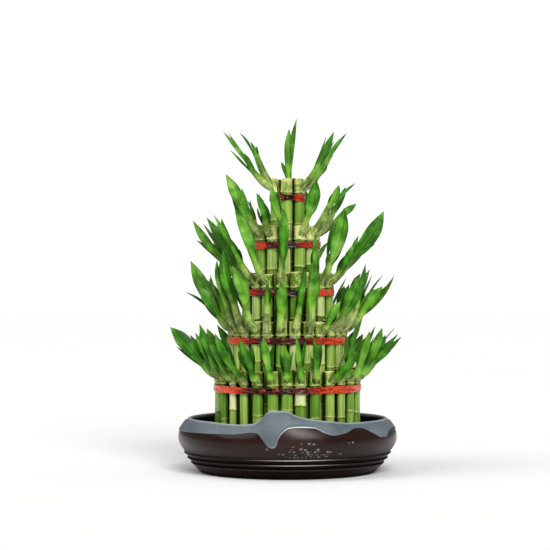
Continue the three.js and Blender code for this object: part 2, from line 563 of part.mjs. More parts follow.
// The cross-sections of a leaf from its foot on, each as left edge, back, right edge and face, and
// its tip. The blade's face looks at the shoot's axis, and its edges are folded towards it.
function leafSections(st, sh, form, n, end, axis, away) {
  const leaf = sh.leaves[n];
  const long = (1 - sh.stem) * sh.reach * leaf.long;
  const open = rad(sh.open ?? form.open);
  const part = rad(leaf.part);
  const along = (share, side) => end.clone().addScaledVector(axis, share).addScaledVector(away, side);
  const foot = along(0, (STEM_RADII[2] * st.tier.stout) / 2);
  const middle = along(0.5 * long, 0.5 * long * Math.tan(open) + 1)
    .addScaledVector(axis.clone().cross(away), long * spread(st.t, st.s, 120 + n, LEAF_BOW));
  const tip = along(long * Math.cos(part), long * Math.sin(part));
  const curve = new THREE.QuadraticBezierCurve3(foot, middle, tip);
  const sections = form.stations.map((t) => {
    const tangent = curve.getTangent(t);
    const back = away.clone().addScaledVector(tangent, -away.dot(tangent)).normalize();
    back.applyAxisAngle(tangent, leaf.twist * smooth(t / TWIST_END));
    const side = tangent.clone().cross(back);
    const wide = 0.5 * leaf.wide * bladeWidth(t);
    const at = (across, outward) =>
      curve.getPoint(t).addScaledVector(side, across).addScaledVector(back, outward);
    const fold = -LEAF_FOLD * wide;
    return [at(-wide, fold), at(0, LEAF_THICK / 2), at(wide, fold), at(0, -LEAF_THICK / 2)];
  });
  return [...sections, [tip]];
}

// The four walls between two cross-sections of a blade, split alike on both faces.
function leafSkin([l0, b0, r0, f0], [l1, b1, r1, f1]) {
  return [
    [l0, b0, b1], [l0, b1, l1], [b0, r0, b1], [r0, r1, b1],
    [r0, f0, f1], [r0, f1, r1], [f0, l0, f1], [l0, l1, f1],
  ];
}

function leafTip([l, b, r, f], tip) {
  return [[l, b, tip], [b, r, tip], [r, f, tip], [f, l, tip]];
}

// One node of a ring: a single stalk, or two that have grown together at their ridges, with a shoot
// on each.
function leafyNode(stalks, label, material) {
  const parts = stalks.flatMap((st) => (shootOf(st).bare ? [stalk(st)] : [stalk(st), shoot(st)]));
  const mesh = meshOf(label, fuse(parts), material);
  mesh.rotation.z = stalks[0].facing;
  return mesh;
}

// The straight stalk in the middle of the tower, with no shoot: the others crowd it all round.
function centreStalk(material) {
  const top = FLOOR_Z + TIERS[4].cut + CENTRE_HIGHER;
  const radius = STALK_RADIUS - CENTRE_THINNER;
  const st = { s: 40, t: 4, side: 0, radius, ridge: radius + RIDGE_ALONE, top, collar: top - RIDGE_DROP };
  st.head = vec(0, 0, top);
  st.foot = vec(0, 0, FLOOR_Z);
  return meshOf('centre_stalk', stalk(st), material);
}

// The ribbons

// The outline of a tight loop round a ring of stalks: corners where the tangents between neighbours
// meet, or two corners at each stalk where a ring has only a few.
function loopAround(stalks, reach) {
  const centres = stalks.map((st) => axisPoint(st.tier.ring, st.facing + st.angle, 0));
  const count = centres.length;
  const normal = (i) => {
    const line = centres[(i + 1) % count].clone().sub(centres[i]);
    return vec(line.y, -line.x, 0).normalize();
  };
  const corner = (c, n1, n2) => c.clone().addScaledVector(n1.clone().add(n2), reach / (1 + n1.dot(n2)));
  return centres.flatMap((c, i) => {
    const before = normal((i + count - 1) % count);
    const after = normal(i);
    if (count > 8) return [corner(c, before, after)];
    const between = before.clone().add(after).normalize();
    return [corner(c, before, between), corner(c, between, after)];
  });
}

// The ribbon of a ring lies tight round its stalks, wide at the sides and drawn narrow in front,
// with its knot a little left of the middle.
function ribbon(stalks) {
  const { tier, t } = stalks[0];
  // How far the stalks' flat outer sides reach in the direction of the tangents between them.
  const widest = Math.max(...stalks.map((st) => st.radius));
  const off = Math.PI / STALK_SIDES - Math.PI / stalks.length;
  const line = loopAround(stalks, widest * Math.cos(Math.max(0, off)) + RIBBON_GAP);
  const middle = FLOOR_Z + tier.cut - RIBBON_DROP;
  const edge = (p, sign, thick) => {
    const azimuth = Math.atan2(p.x, -p.y);
    const front = Math.exp(-Math.pow(azimuth / 0.75, 2));
    const half = RIBBON_HALF - RIBBON_DRAWN * front + 0.2 * Math.sin(3 * azimuth + t);
    const out = p.clone().normalize().multiplyScalar(thick);
    return p.clone().add(out).setZ(middle + sign * half + 0.3 * Math.sin(2 * azimuth + 2 * t));
  };
  const rings = [[1, 0], [-1, 0], [-1, RIBBON_THICK], [1, RIBBON_THICK]].map(([sign, thick]) =>
    line.map((p) => edge(p, sign, thick)));
  const out = axisPoint(1, rad(KNOT_AZIMUTH), 0);
  const reach = Math.max(...line.map((p) => p.dot(out)));
  const centre = out.clone().multiplyScalar(reach + RIBBON_THICK * 0.3).setZ(middle);
  return closedBand(rings).add(knot(centre, out));
}

// A knot: a flat six-sided spindle along the ribbon.
function knot(centre, out) {
  const along = vec(-out.y, out.x, 0);
  const ring = (x, r) => ringAbout(centre.clone().addScaledVector(along, x), out, UP, r, 6);
  const flat = (points) => points.map((p) => {
    const off = p.clone().sub(centre).dot(out);
    return p.addScaledVector(out, off < 0 ? -off : -0.45 * off);
  });
  return loft(KNOT_SECTIONS.map(([x, r]) => flat(ring(x, r))));
}

// A solid band from four closed rings, one for each edge of its section.
function closedBand(rings) {
  const n = rings[0].length;
  const faces = [];
  rings.forEach((_, k) => {
    const a = k * n;
    const b = ((k + 1) % rings.length) * n;
    for (let i = 0; i < n; i++) {
      const j = (i + 1) % n;
      faces.push([a + i, a + j, b + j], [a + i, b + j, b + i]);
    }
  });
  return solid(rings.flat(), faces);
}

// The water

// Still water between the bowl's wall and the outer ring of stalks, which stand in it close
// together as in one round hole.
function water(outer) {
  const angles = columns();
  const rows = [FLOOR_Z, 20, WATER_Z].map((z) => angles.map((a) => around(innerRadius(z) - WATER_GAP, z, a)));
  const reach = Math.max(...outer.map((st) => Math.hypot(st.foot.x, st.foot.y) + st.radius));
  const wide = (reach + WATER_GAP) / Math.cos(Math.PI / WATER_SIDES);
  const hole = [FLOOR_Z - 1, WATER_Z + 1].map((z) =>
    ringAbout(vec(0, 0, z), vec(1, 0, 0), vec(0, 1, 0), wide, WATER_SIDES));
  return loft(rows).subtract(loft(hole));
}

// The whole plant

const materials = {
  clay: new THREE.MeshStandardMaterial({ color: 0x3a2c29, roughness: 0.45, metalness: 0 }),
  bamboo: new THREE.MeshStandardMaterial({ color: 0x5f9a2f, roughness: 0.4, metalness: 0 }),
  ribbon: new THREE.MeshStandardMaterial({ color: 0xb52a1c, roughness: 0.3, metalness: 0.1 }),
  water: new THREE.MeshStandardMaterial({ color: 0x3c4a48, roughness: 0.05, metalness: 0 }),
};

const plant = new THREE.Group();
plant.name = 'lucky_bamboo';
plant.add(meshOf('bowl', bowl(), materials.clay));
TIERS.forEach((tier, t) => {
  const ring = new THREE.Group();
  ring.name = tier.name;
  const stalks = stalksOf(tier, t);
  if (t === 0) plant.add(meshOf('water', water(stalks), materials.water));
  standsOf(tier).forEach((stand, n) => {
    const kind = stand.pair ? 'stalk_pair' : 'stalk';
    const label = `${tier.name}_${kind}_${String(n + 1).padStart(2, '0')}`;
    ring.add(leafyNode(stalks.filter((st) => st.node === n), label, materials.bamboo));
  });
  ring.add(meshOf(`${tier.name}_ribbon`, ribbon(stalks), materials.ribbon));
  plant.add(ring);
});
plant.add(centreStalk(materials.bamboo));

export default plant;
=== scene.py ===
"""The looks of a lucky bamboo tower in its bowl: five rings of cut stalks, each bound with a red
satin ribbon, standing in a little water in a low stoneware bowl with a waved, glazed rim.

Lengths are millimetres until a mesh is made. The side that faces the viewer is -Y, and an azimuth
of 0 points there. The places of stalks and shoots follow the same rules as the solids they dress.
"""

import math
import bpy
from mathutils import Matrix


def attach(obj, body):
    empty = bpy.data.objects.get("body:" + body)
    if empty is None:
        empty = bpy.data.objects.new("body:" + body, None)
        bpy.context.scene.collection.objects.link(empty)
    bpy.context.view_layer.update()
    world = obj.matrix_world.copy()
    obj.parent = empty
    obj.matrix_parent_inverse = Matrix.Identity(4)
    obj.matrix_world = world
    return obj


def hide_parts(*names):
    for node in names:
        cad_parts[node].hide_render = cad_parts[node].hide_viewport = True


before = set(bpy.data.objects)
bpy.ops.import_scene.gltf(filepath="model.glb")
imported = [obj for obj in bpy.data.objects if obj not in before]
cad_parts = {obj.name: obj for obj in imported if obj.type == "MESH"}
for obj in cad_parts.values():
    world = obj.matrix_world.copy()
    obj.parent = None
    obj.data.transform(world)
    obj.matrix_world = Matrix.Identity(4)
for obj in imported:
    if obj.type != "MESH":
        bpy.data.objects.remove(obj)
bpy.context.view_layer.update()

from types import SimpleNamespace

import bpy
import numpy as np
from mathutils import Vector

MM = 0.001

# Camera: the photograph's frame is square, and the tower's axis lies a little right of its middle
IMAGE_SIDE = 550
FOCAL_PIXELS = 1750
SENSOR = 36.0
DISTANCE = 1886.0
EYE_HEIGHT = 192.2
MM_PER_PIXEL = DISTANCE / FOCAL_PIXELS
AXIS_RIGHT_PIXELS = 12.5
EYE_BELOW_PIXELS = 17.0


def make_camera():
    data = bpy.data.cameras.new("camera")
    data.sensor_width = SENSOR
    data.lens = FOCAL_PIXELS / IMAGE_SIDE * SENSOR
    data.clip_start, data.clip_end = 0.1, 100
    camera = bpy.data.objects.new("camera", data)
    bpy.context.scene.collection.objects.link(camera)
    eye = np.array([0.0, -DISTANCE, EYE_HEIGHT]) * MM
    aim_z = EYE_HEIGHT + EYE_BELOW_PIXELS * MM_PER_PIXEL
    aim = np.array([-AXIS_RIGHT_PIXELS * MM_PER_PIXEL, 0.0, aim_z]) * MM
    camera.location = eye
    direction = Vector(aim - eye)
    camera.rotation_euler = direction.to_track_quat("-Z", "Y").to_euler()
    bpy.context.scene.camera = camera


make_camera()

# Dimensions shared by the rings, as on the solids
INCH = 25.4
FLOOR_Z = 9.0
WATER_Z = 34.0
STALK_RADIUS = 6.5
PAIR_PART = 13.3
FOOT_PART = 0.9
RIDGE = 0.65
RIDGE_ALONE = 0.4
RIDGE_DROP = 15.0
SHOOT_DROP = 10.5
RIBBON_DROP = 20.8
KNOT_AZIMUTH, SECOND_KNOT = -19.0, -9.0
WATER_GAP = 0.4
SECTOR_GAP = 0.35

# One entry for each ring, from the outside in: the radius of the stalks' axes, their cut length, the
# shoots' mean lean in degrees, their mean length, by how much they are shorter on the viewer's side,
# how wide their leaves and how stout their stems are, how far out of the stalk a stem bends up, how
# much further down green reaches on a shoot, as a share of a leaf, how pale a stalk is above its
# ridge, and how far round its sides the painted shade beside its neighbours reaches.
TIERS = [
    dict(name="tier1", ring=71.7, cut=4 * INCH, tilt=36, reach=61, shorter=0.18, wide=1.0, stout=0.96,
        elbow=3, green=0.24, head_tone=0.5, side_shade=0.66),
    dict(name="tier2", ring=57.2, cut=6 * INCH, tilt=31, reach=69, shorter=0.14, wide=1.05, stout=0.94,
        elbow=3, green=0.0, head_tone=0.5, side_shade=0.66),
    dict(name="tier3", ring=42.6, cut=8 * INCH, tilt=31, reach=75, shorter=0.08, wide=1.15, stout=0.86,
        elbow=3, green=0.08, head_tone=0.62, side_shade=0.6),
    dict(name="tier4", ring=28.0, cut=10 * INCH, tilt=29, reach=62, shorter=0.05, wide=1.1, stout=0.84,
        elbow=3, green=0.02, head_tone=0.78, side_shade=0.42),
    dict(name="tier5", ring=13.4, cut=12 * INCH, tilt=32, reach=71, shorter=0.0, wide=0.95, stout=0.82,
        elbow=6, green=0.12, head_tone=0.78, side_shade=0.3),
]
TOP_THINNER = 0.3
CENTRE_HIGHER, CENTRE_THINNER = 0.8, 0.5
# How the inner rings stand: in pairs or alone, at even steps from the azimuth start on
STANDS = {
    "tier2": dict(pairs=13, start=0.7),
    "tier3": dict(pairs=9, start=2.0),
    "tier4": dict(pairs=6, start=-19.7),
    "tier5": dict(alone=6, start=-4.0),
}
# Azimuths of the outer ring's nodes on the viewer's side, which of them are pairs, and how thick the
# single stalks are. The pairs that close the ring behind follow at even steps.
OUTER_RING = [-69.5, -50.6, -38, -24.8, -11.8, 5, 22.6, 36.6, 49.4, 62.3]
OUTER_PAIRED = (0, 5)
OUTER_THICK = {1: 0.84, 2: 0.88, 3: 0.95, 6: 0.95, 7: 0.97, 8: 0.94}
OUTER_BEHIND = dict(pairs=8, start=82.5, step=25.9)

# The three leaves into which a shoot divides: the side of the shoot's axis that the leaf takes, its
# angle from the axis at its foot and at its tip, its length as a share of the longest, and its width
LEAVES = [
    dict(turn=0, open=14, part=11, long=0.92, wide=11.5),
    dict(turn=120, open=14, part=11, long=1.0, wide=11.5),
    dict(turn=240, open=16, part=15, long=0.76, wide=9.5),
]
STEM_SHARE = 0.28
LEAF_MID = 0.6
LEAF_BASE = 0.36


def shown(lean, aim, long, *leaves, **more):
    """A shoot that is set from the photo. Its leaves are drawn where none are given."""
    form = dict(lean=lean, aim=aim, long=long, **more)
    if leaves:
        form["leaves"] = leaves
    return form


# Shoots that are plain to see, by ring, place of the node and left or right stalk of a pair: how far
# they lean, the azimuth they aim for, their length, and for each leaf its length as a share of what
# the stem leaves of that, its angle from the axis, and its width as a share of the usual one. More are
# the stem's share of the length, the turn about the shoot's own axis, how the leaves open and how they
# twist. A bare stalk has lost its shoot. All others are drawn.
SEEN = {
    "1.0L": shown(23, -76, 52, (1, 4, 0.6), (0.7, 8, 0.7), (0.8, 14, 0.8)),
    "1.0R": shown(20, -66, 63, (1, 4, 0.75), (0.6, 8, 0.6), (0.6, 10, 0.7)),
    "1.1": shown(29, -57, 53, (1, 4, 0.6), (0.6, 14, 0.6), (0.7, 12, 0.7), stem=0.2),
    "1.2": shown(32, -53, 60, (1, 4, 0.85), (0.7, 14, 0.7), (0.7, 16, 0.7), stem=0.22),
    "1.3": shown(28, -40, 51, (1, 4, 0.75), (0.7, 20, 0.9), (0.75, 26, 1.1), stem=0.18),
    "1.4": shown(19, -30, 51, (1, 4, 0.8), (0.7, 22, 0.8), (0.88, 15, 0.75), stem=0.2),
    "1.5L": shown(22, -5, 36, (1, 4, 0.75), (0.85, 20, 0.7), (0.8, 20, 0.7), stem=0.16),
    "1.5R": shown(14, -35, 51, (1, 4, 0.75), (0.78, 21, 0.8), (0.6, 12, 0.7), stem=0.2),
    "1.6": shown(18, -30, 51, (1, 4, 0.8), (0.78, 21, 0.85), (0.6, 16, 0.8), stem=0.2),
    "1.7": shown(43, 50, 46, (1, 4, 0.8), (0.8, 16, 0.7), (0.85, 18, 0.7), stem=0.2),
    "1.8": shown(16, 49, 59, (1, 4, 0.6), (0.75, 14, 0.8), (0.75, 18, 0.8), stem=0.2),
    "1.9": shown(18, 62, 54, (1, 4, 0.8), (0.7, 14, 0.6), (0.7, 15, 0.6), stem=0.22),
    "1.10L": shown(22, 77, 59, (1, 4, 0.9), (0.7, 8, 0.6), (0.6, 8, 0.6)),
    "1.10R": shown(38, 87, 62, (0.8, 4, 0.9), (0.95, 11, 0.8), (1, 8, 0.35)),
    "1.11L": shown(33, 100, 58),
    "1.17L": shown(36, -102, 56),
    "1.17R": shown(41, -91, 69, (1, 3, 1.5), (0.8, 10, 0.8), (0.65, 18, 0.7)),
    "2.0L": shown(20, 0, 54, (1, 4, 1.15), (0.7, 10, 0.6), (0.85, 12, 0.7)),
    "2.0R": shown(18, 30, 69, (1, 4, 0.6), (0.5, 8, 0.6), (0.6, 8, 0.6)),
    "2.1L": shown(18, 5, 81, (0.95, 4, 1.75), (1, 6, 0.5), (0.5, 8, 0.7)),
    "2.1R": shown(35, 50, 40, (1, 4, 0.8), (0.6, 8, 0.6), (0.6, 8, 0.6)),
    "2.2L": shown(29, 52, 60, (1, 4, 1.35), (0.8, 8, 0.5), (0.6, 10, 0.6)),
    "2.2R": shown(20, 63, 75, (1, 4, 0.55), (0.7, 6, 0.5), (0.65, 12, 0.5), stem=0.35),
    "2.3L": shown(20, 77, 68, (1, 4, 0.65), (0.5, 8, 0.6), (0.5, 8, 0.6), stem=0.4),
    "2.3R": shown(37, 90, 76, (0.68, 5, 1.1), (1, 4, 0.9), (0.9, 9, 0.35)),
    "2.4L": shown(33, 103, 62),
    "2.9R": shown(28, -100, 66),
    "2.10L": shown(27, -89, 83, (1, 3, 1.3), (0.6, 8, 0.7), (0.69, 32, 0.8), stem=0.2),
    "2.10R": shown(33, -76, 56, (1, 4, 1.1), (0.9, 10, 0.7), (0.7, 8, 0.7)),
    "2.11L": shown(13.5, -61, 78, (1, 4, 0.6), (0.6, 5, 0.7), (0.5, 9, 0.6), stem=0.42),
    "2.11R": shown(15, -48, 90, (1, 3, 1.05), (0.6, 7, 0.6), (0.55, 8, 0.6), stem=0.35),
    "2.12L": shown(23, -44, 74, (1, 3, 1.3), (0.95, 8, 0.5), (0.5, 8, 0.7), stem=0.36),
    "2.12R": shown(18, 18, 62, (1, 4, 0.7), (0.7, 6, 0.6), (0.6, 6, 0.5), stem=0.45),
    "3.0L": shown(14, 8, 79, (1, 3, 0.9), (0.7, 8, 0.6), (0.62, 8, 0.6)),
    "3.0R": dict(bare=True),
    "3.1L": shown(20, 0, 51, (1, 4, 0.55), (0.5, 8, 0.5), (0.5, 8, 0.5)),
    "3.1R": shown(17.5, 51, 82, (1, 3, 1.25), (0.6, 7, 0.6), (0.72, 10, 0.5)),
    "3.2L": shown(27, 73, 47, (1, 3, 0.65), (0.98, 12, 0.5), (0.6, 5, 0.6)),
    "3.2R": shown(34, 91, 92, (1, 3, 1.35), (0.52, 25, 0.5), (0.45, 17, 0.8)),
    "3.3L": shown(38, 105, 60),
    "3.6R": shown(31, -105, 64),
    "3.7L": shown(37, -88, 83, (1, 4, 0.72), (0.85, 8, 0.6), (0.7, 16, 0.8)),
    "3.7R": shown(30, -69, 80, (1, 3, 0.78), (0.8, 8, 0.6), (0.7, 8, 0.6)),
    "3.8L": shown(31, -66, 84, (1, 3, 0.48), (0.45, 8, 0.6), (0.5, 8, 0.6)),
    "3.8R": shown(26, -59, 91, (1, 3, 1.12), (0.5, 8, 0.6), (0.45, 8, 0.6)),
    "4.0L": shown(20, -50, 47, (1, 4, 0.65), (0.6, 8, 0.5), (0.55, 12, 0.45)),
    "4.0R": shown(24, -36, 61, (0.88, 5, 0.85), (1, 9, 0.5), (0.6, 8, 0.6)),
    "4.1L": shown(22, 36, 62, (1, 4, 1.15), (0.5, 8, 0.5), (0.6, 6, 0.5)),
    "4.1R": shown(28, 60, 64, (0.86, 4, 0.65), (1.3, 31, 0.5), (0.5, 8, 0.5), stem=0.58),
    "4.2L": shown(26, 80, 58, (1, 3, 0.5), (0.9, 6, 0.4), (0.7, 8, 0.4), stem=0.5),
    "4.2R": shown(50, 100, 54, (1, 4, 0.7), (0.5, 8, 0.5), (0.5, 8, 0.5), stem=0.5),
    "4.3L": shown(10, 180, 48),
    "4.4L": shown(22, -125, 49, (1, 4, 0.6), (0.7, 8, 0.5), (0.6, 8, 0.5)),
    "4.4R": shown(28, -122, 60, (1, 4, 0.6), (0.6, 8, 0.5), (0.5, 10, 0.5)),
    "4.5L": shown(24, -92, 72, (1, 3, 1.1), (0.7, 8, 0.7), (0.6, 6, 0.7)),
    "4.5R": shown(18, -66, 52, (1, 4, 0.6), (0.6, 14, 0.5), (0.75, 10, 0.6)),
    "5.0": dict(bare=True),
    "5.1": shown(27.6, 68, 66, (1, 4, 0.7), (0.8, 8, 0.5), (0.8, 9, 0.5), open=7),
    "5.2": shown(34.7, 100, 75, (1, 3, 0.5), (0.4, 4, 0.4), (0.5, 8, 0.5), open=5),
    "5.3": shown(5, 180, 76, (0.86, 2, 0.95), (1.06, 8, 0.6), (0.36, 26, 0.6),
        stem=0.12, turn=-180, open=4, twist=(0, 40, -40)),
    "5.4": shown(20.6, -108, 69, (1.04, 17, 0.55), (0.38, 6, 0.45), (0.36, 38, 0.5),
        stem=0.58, turn=0, open=5, twist=(50, 0, 0)),
    "5.5": shown(37.8, -80, 76, (1, 2, 0.5), (0.93, 5, 0.42), (0.62, 12, 0.45), open=4),
}

rad = math.radians
UP = np.array([0.0, 0.0, 1.0])


def draw(t, s, k):
    """A repeatable draw between 0 and 1 for stalk s of tier t, item k."""
    x = math.sin(t * 127.1 + s * 311.7 + k * 74.7 + 0.5) * 43758.5453
    return x - math.floor(x)


def spread(t, s, k, amount):
    return (2 * draw(t, s, k) - 1) * amount


def smooth(x, low=0.0, high=1.0):
    """Eased step from 0 at low to 1 at high."""
    x = np.clip((x - low) / (high - low), 0, 1)
    return x * x * (3 - 2 * x)


def bell(x, width):
    return np.exp(-((x / width) ** 2))


def unit(v):
    return v / np.linalg.norm(v)


def around(count):
    """Angles of points at even steps round a circle."""
    return np.arange(count) * 2 * math.pi / count


def turned(v, angle):
    """A direction turned about the vertical."""
    c, s = math.cos(angle), math.sin(angle)
    return np.array([c * v[0] - s * v[1], s * v[0] + c * v[1], *v[2:]])


def along_line(knots, x):
    """Height at x of a line drawn softly through knots, with no overshoot between them."""
    xs, ys = np.array(knots, float).T
    steps = np.diff(xs)
    slopes = np.diff(ys) / steps
    left, right = slopes[:-1], slopes[1:]
    inner = np.where(left * right > 0, 2 * left * right / (left + right + 1e-12), 0)
    ends = np.concatenate([[0], inner, [0]])
    k = np.clip(np.searchsorted(xs, x) - 1, 0, len(xs) - 2)
    h = steps[k]
    u = (x - xs[k]) / h
    rise = ys[k] * (1 + 2 * u) * (1 - u) ** 2 + ys[k + 1] * u * u * (3 - 2 * u)
    return rise + h * (ends[k] * u * (1 - u) ** 2 - ends[k + 1] * u * u * (1 - u))


# Meshes

FACTS = ("along", "across", "tone", "pale", "dark", "upper")


class Shape:
    """Points in millimetres, what the materials read at each of them, and faces with their slots."""

    def __init__(self):
        self.points, self.facts, self.faces, self.slots = [], [], [], []
        self.count = 0

    def add(self, points, **facts):
        """Adds points, which may be in rows, and returns the number of the first."""
        points = np.asarray(points, float)
        flat = points.reshape(-1, 3)
        table = np.zeros((len(flat), len(FACTS)))
        for name, value in facts.items():
            table[:, FACTS.index(name)] = np.broadcast_to(value, points.shape[:-1]).reshape(-1)
        first = self.count
        self.points.append(flat)
        self.facts.append(table)
        self.count += len(flat)
        return first

    def face(self, corners, slot):
        self.faces.append(tuple(int(c) for c in corners))
        self.slots.append(slot)

    def strip(self, low, high, sides, slot):
        """Faces between two rings of points, told by the numbers of their first points."""
        for i in range(sides):
            j = (i + 1) % sides
            self.face((low + i, low + j, high + j, high + i), slot)

    def tube(self, points, slot=0, round_trip=False, end_cap=True, **facts):
        """A skin through rows of points, each row a closed ring, closed at its ends or on itself."""
        rows, sides = points.shape[:2]
        first = self.add(points, **facts)
        last = first + (rows - 1) * sides
        for low in range(first, last, sides):
            self.strip(low, low + sides, sides, slot)
        if round_trip:
            self.strip(last, first, sides, slot)
            return first
        self.face([first + i for i in range(sides)][::-1], slot)
        if end_cap:
            self.face([last + i for i in range(sides)], slot)
        return first

    def tip(self, ring_first, sides, point, slot=0, **facts):
        """Closes the ring of points from ring_first on with a fan to one point."""
        top = self.add(np.array([point]), **facts)
        for i in range(sides):
            self.face((ring_first + i, ring_first + (i + 1) % sides, top), slot)

    def piece(self, name, node, materials, slot, sharp=50, turn=0.0):
        """Makes the piece that stands for a node, turned about the tower's axis."""
        points = np.concatenate(self.points) * MM
        c, s = math.cos(turn), math.sin(turn)
        points = points @ np.array([[c, s, 0], [-s, c, 0], [0, 0, 1.0]])
        mesh = bpy.data.meshes.new(name)
        mesh.from_pydata(points.tolist(), [], self.faces)
        mesh.polygons.foreach_set("material_index", self.slots)
        table = np.concatenate(self.facts)
        for k, fact in enumerate(FACTS):
            if table[:, k].any():
                attribute = mesh.attributes.new(fact, "FLOAT", "POINT")
                attribute.data.foreach_set("value", table[:, k].astype(np.float32))
        for material in materials:
            mesh.materials.append(material)
        mesh.validate()
        mesh.polygons.foreach_set("use_smooth", [True] * len(mesh.polygons))
        mesh.set_sharp_from_angle(angle=rad(sharp))
        piece = bpy.data.objects.new(name, mesh)
        bpy.context.scene.collection.objects.link(piece)
        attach(piece, "root")
        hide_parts(node)


# Materials


def rgb(r, g, b):
    """A colour given as on a screen, from 0 to 255, in linear light."""
    shares = (r / 255, g / 255, b / 255)
    return tuple(c / 12.92 if c <= 0.04045 else ((c + 0.055) / 1.055) ** 2.4 for c in shares) + (1,)


class Look:
    """A material's node tree, with short calls for the nodes that it needs. Its colour is built up in
    the attribute colour and fed to the shader when the look is done."""

    def __init__(self, name, roughness=0.5, **shader):
        self.material = bpy.data.materials.new(name)
        self.material.use_nodes = True
        self.tree = self.material.node_tree
        self.shader = self.tree.nodes["Principled BSDF"]
        self.set("Roughness", roughness)
        for socket, value in shader.items():
            self.set(socket.replace("_", " "), value)
        self.place = self.node("ShaderNodeTexCoord").outputs["Object"]
        self.colour = None

    def node(self, kind, *values, **settings):
        """A node with its settings, whose first sockets take values or other nodes' outputs."""
        node = self.tree.nodes.new(kind)
        for name, value in settings.items():
            setattr(node, name, value)
        for socket, value in zip(node.inputs, values):
            self.feed(socket, value)
        return node

    def feed(self, socket, value):
        if isinstance(value, bpy.types.NodeSocket):
            self.tree.links.new(value, socket)
        else:
            socket.default_value = value

    def set(self, socket, value):
        self.feed(self.shader.inputs[socket], value)

    def fact(self, name):
        return self.node("ShaderNodeAttribute", attribute_name=name).outputs["Fac"]

    def math(self, operation, a, b=0.0):
        return self.node("ShaderNodeMath", a, b, operation=operation).outputs[0]

    def plus(self, a, b):
        return self.math("ADD", a, b)

    def times(self, a, b):
        return self.math("MULTIPLY", a, b)

    def weighed(self, a, weight_a, b, weight_b):
        """Two values added, each times its weight."""
        return self.plus(self.times(a, weight_a), self.times(b, weight_b))

    def noise_at(self, place, detail=3.0, rough=0.5):
        node = self.node("ShaderNodeTexNoise")
        for socket, value in dict(Vector=place, Scale=1.0, Detail=detail, Roughness=rough).items():
            self.feed(node.inputs[socket], value)
        return node.outputs["Fac"]

    def noise(self, x, y, z, **form):
        """Noise with that many waves to the metre along each axis."""
        scaled = self.node("ShaderNodeVectorMath", self.place, (x, y, z), operation="MULTIPLY")
        return self.noise_at(scaled.outputs[0], **form)

    def ranged(self, value, low, high, to_low=0.0, to_high=1.0):
        """A value brought softly from the range between low and high into another one."""
        ends = (low, high, to_low, to_high)
        return self.node("ShaderNodeMapRange", value, *ends, interpolation_type="SMOOTHSTEP").outputs[0]

    def mix(self, share, a, b):
        node = self.node("ShaderNodeMix", data_type="RGBA")
        self.feed(node.inputs["Factor"], share)
        colours = [x for x in node.inputs if x.type == "RGBA"]
        self.feed(colours[0], a)
        self.feed(colours[1], b)
        return [x for x in node.outputs if x.type == "RGBA"][0]

    def tint(self, share, r, g, b):
        """Mixes a share of a screen colour into the look's colour."""
        self.colour = self.mix(share, self.colour, rgb(r, g, b))

    def ramp(self, value, *stops):
        """A colour read off between stops, each of them a place and a screen colour."""
        node = self.node("ShaderNodeValToRGB", value)
        band = node.color_ramp
        for place, *colour in stops[2:]:
            band.elements.new(place)
        for element, (place, *colour) in zip(band.elements, sorted(stops)):
            element.position, element.color = place, rgb(*colour)
        return node.outputs["Color"]

    def bump(self, height, depth):
        """Bump from a height between 0 and 1 that stands for depth millimetres."""
        node = self.node("ShaderNodeBump")
        node.inputs["Strength"].default_value = 1.0
        node.inputs["Distance"].default_value = depth * MM
        self.feed(node.inputs["Height"], height)
        self.set("Normal", node.outputs["Normal"])

    def done(self):
        self.set("Base Color", self.colour)
        return self.material


def cane_look():
    """Green cane: streaked lengthwise, mottled and yellower above the ridge, with painted shade under its
    nodes and on its sides beside its neighbours.
    """
    look = Look("cane_skin", roughness=0.4, Specular_IOR_Level=0.28)
    tone = look.fact("tone")
    streaks = look.noise(520, 520, 16, detail=4, rough=0.6)
    fine = look.noise(1700, 1700, 30, detail=2)
    patches = look.noise(90, 90, 45)
    mottle = look.noise(420, 420, 260, rough=0.6)
    green = look.ramp(
        look.plus(tone, look.ranged(streaks, 0.3, 0.7, -0.14, 0.14)),
        (0.0, 26, 68, 6), (0.35, 84, 132, 26), (0.65, 140, 174, 68), (1.0, 214, 220, 164),
    )
    blotches = look.weighed(patches, 0.7, mottle, 0.5)
    above = look.ramp(
        look.plus(look.plus(tone, -0.5), look.ranged(blotches, 0.45, 0.8)),
        (0.0, 36, 58, 6), (0.45, 108, 140, 38), (1.0, 214, 216, 138),
    )
    look.colour = look.mix(look.times(look.fact("upper"), 0.85), green, above)
    # Painted shade under the ridge and the nodes
    look.tint(look.times(look.fact("dark"), look.ranged(mottle, 0.4, 0.58, 0.2, 1.0)), 8, 9, 1)
    look.tint(look.times(look.fact("pale"), look.ranged(mottle, 0.35, 0.55, 0.4, 1.0)), 228, 220, 140)
    specks = look.ranged(look.noise(900, 900, 700, detail=1), 0.68, 0.76)
    look.tint(look.times(specks, 0.22), 110, 96, 30)
    # Painted shade on the stalk's sides beside its neighbours, carried in across
    look.tint(look.times(look.fact("across"), 0.96), 12, 12, 1)
    look.set("Roughness", look.ranged(patches, 0.3, 0.7, 0.32, 0.48))
    look.bump(look.weighed(streaks, 0.7, fine, 0.3), 0.08)
    return look.done()


def pith_look():
    """The cut end of a cane: pale, fibrous, dried yellow at the rim."""
    look = Look("cane_cut_end", roughness=0.75)
    fibres = look.noise(2600, 2600, 600, detail=2)
    clouds = look.noise(160, 160, 160)
    look.colour = look.ramp(
        look.weighed(fibres, 0.5, clouds, 0.5),
        (0.3, 150, 128, 66), (0.5, 204, 192, 120), (0.7, 226, 220, 164),
    )
    look.tint(look.fact("pale"), 232, 218, 128)
    look.bump(fibres, 0.25)
    return look.done()


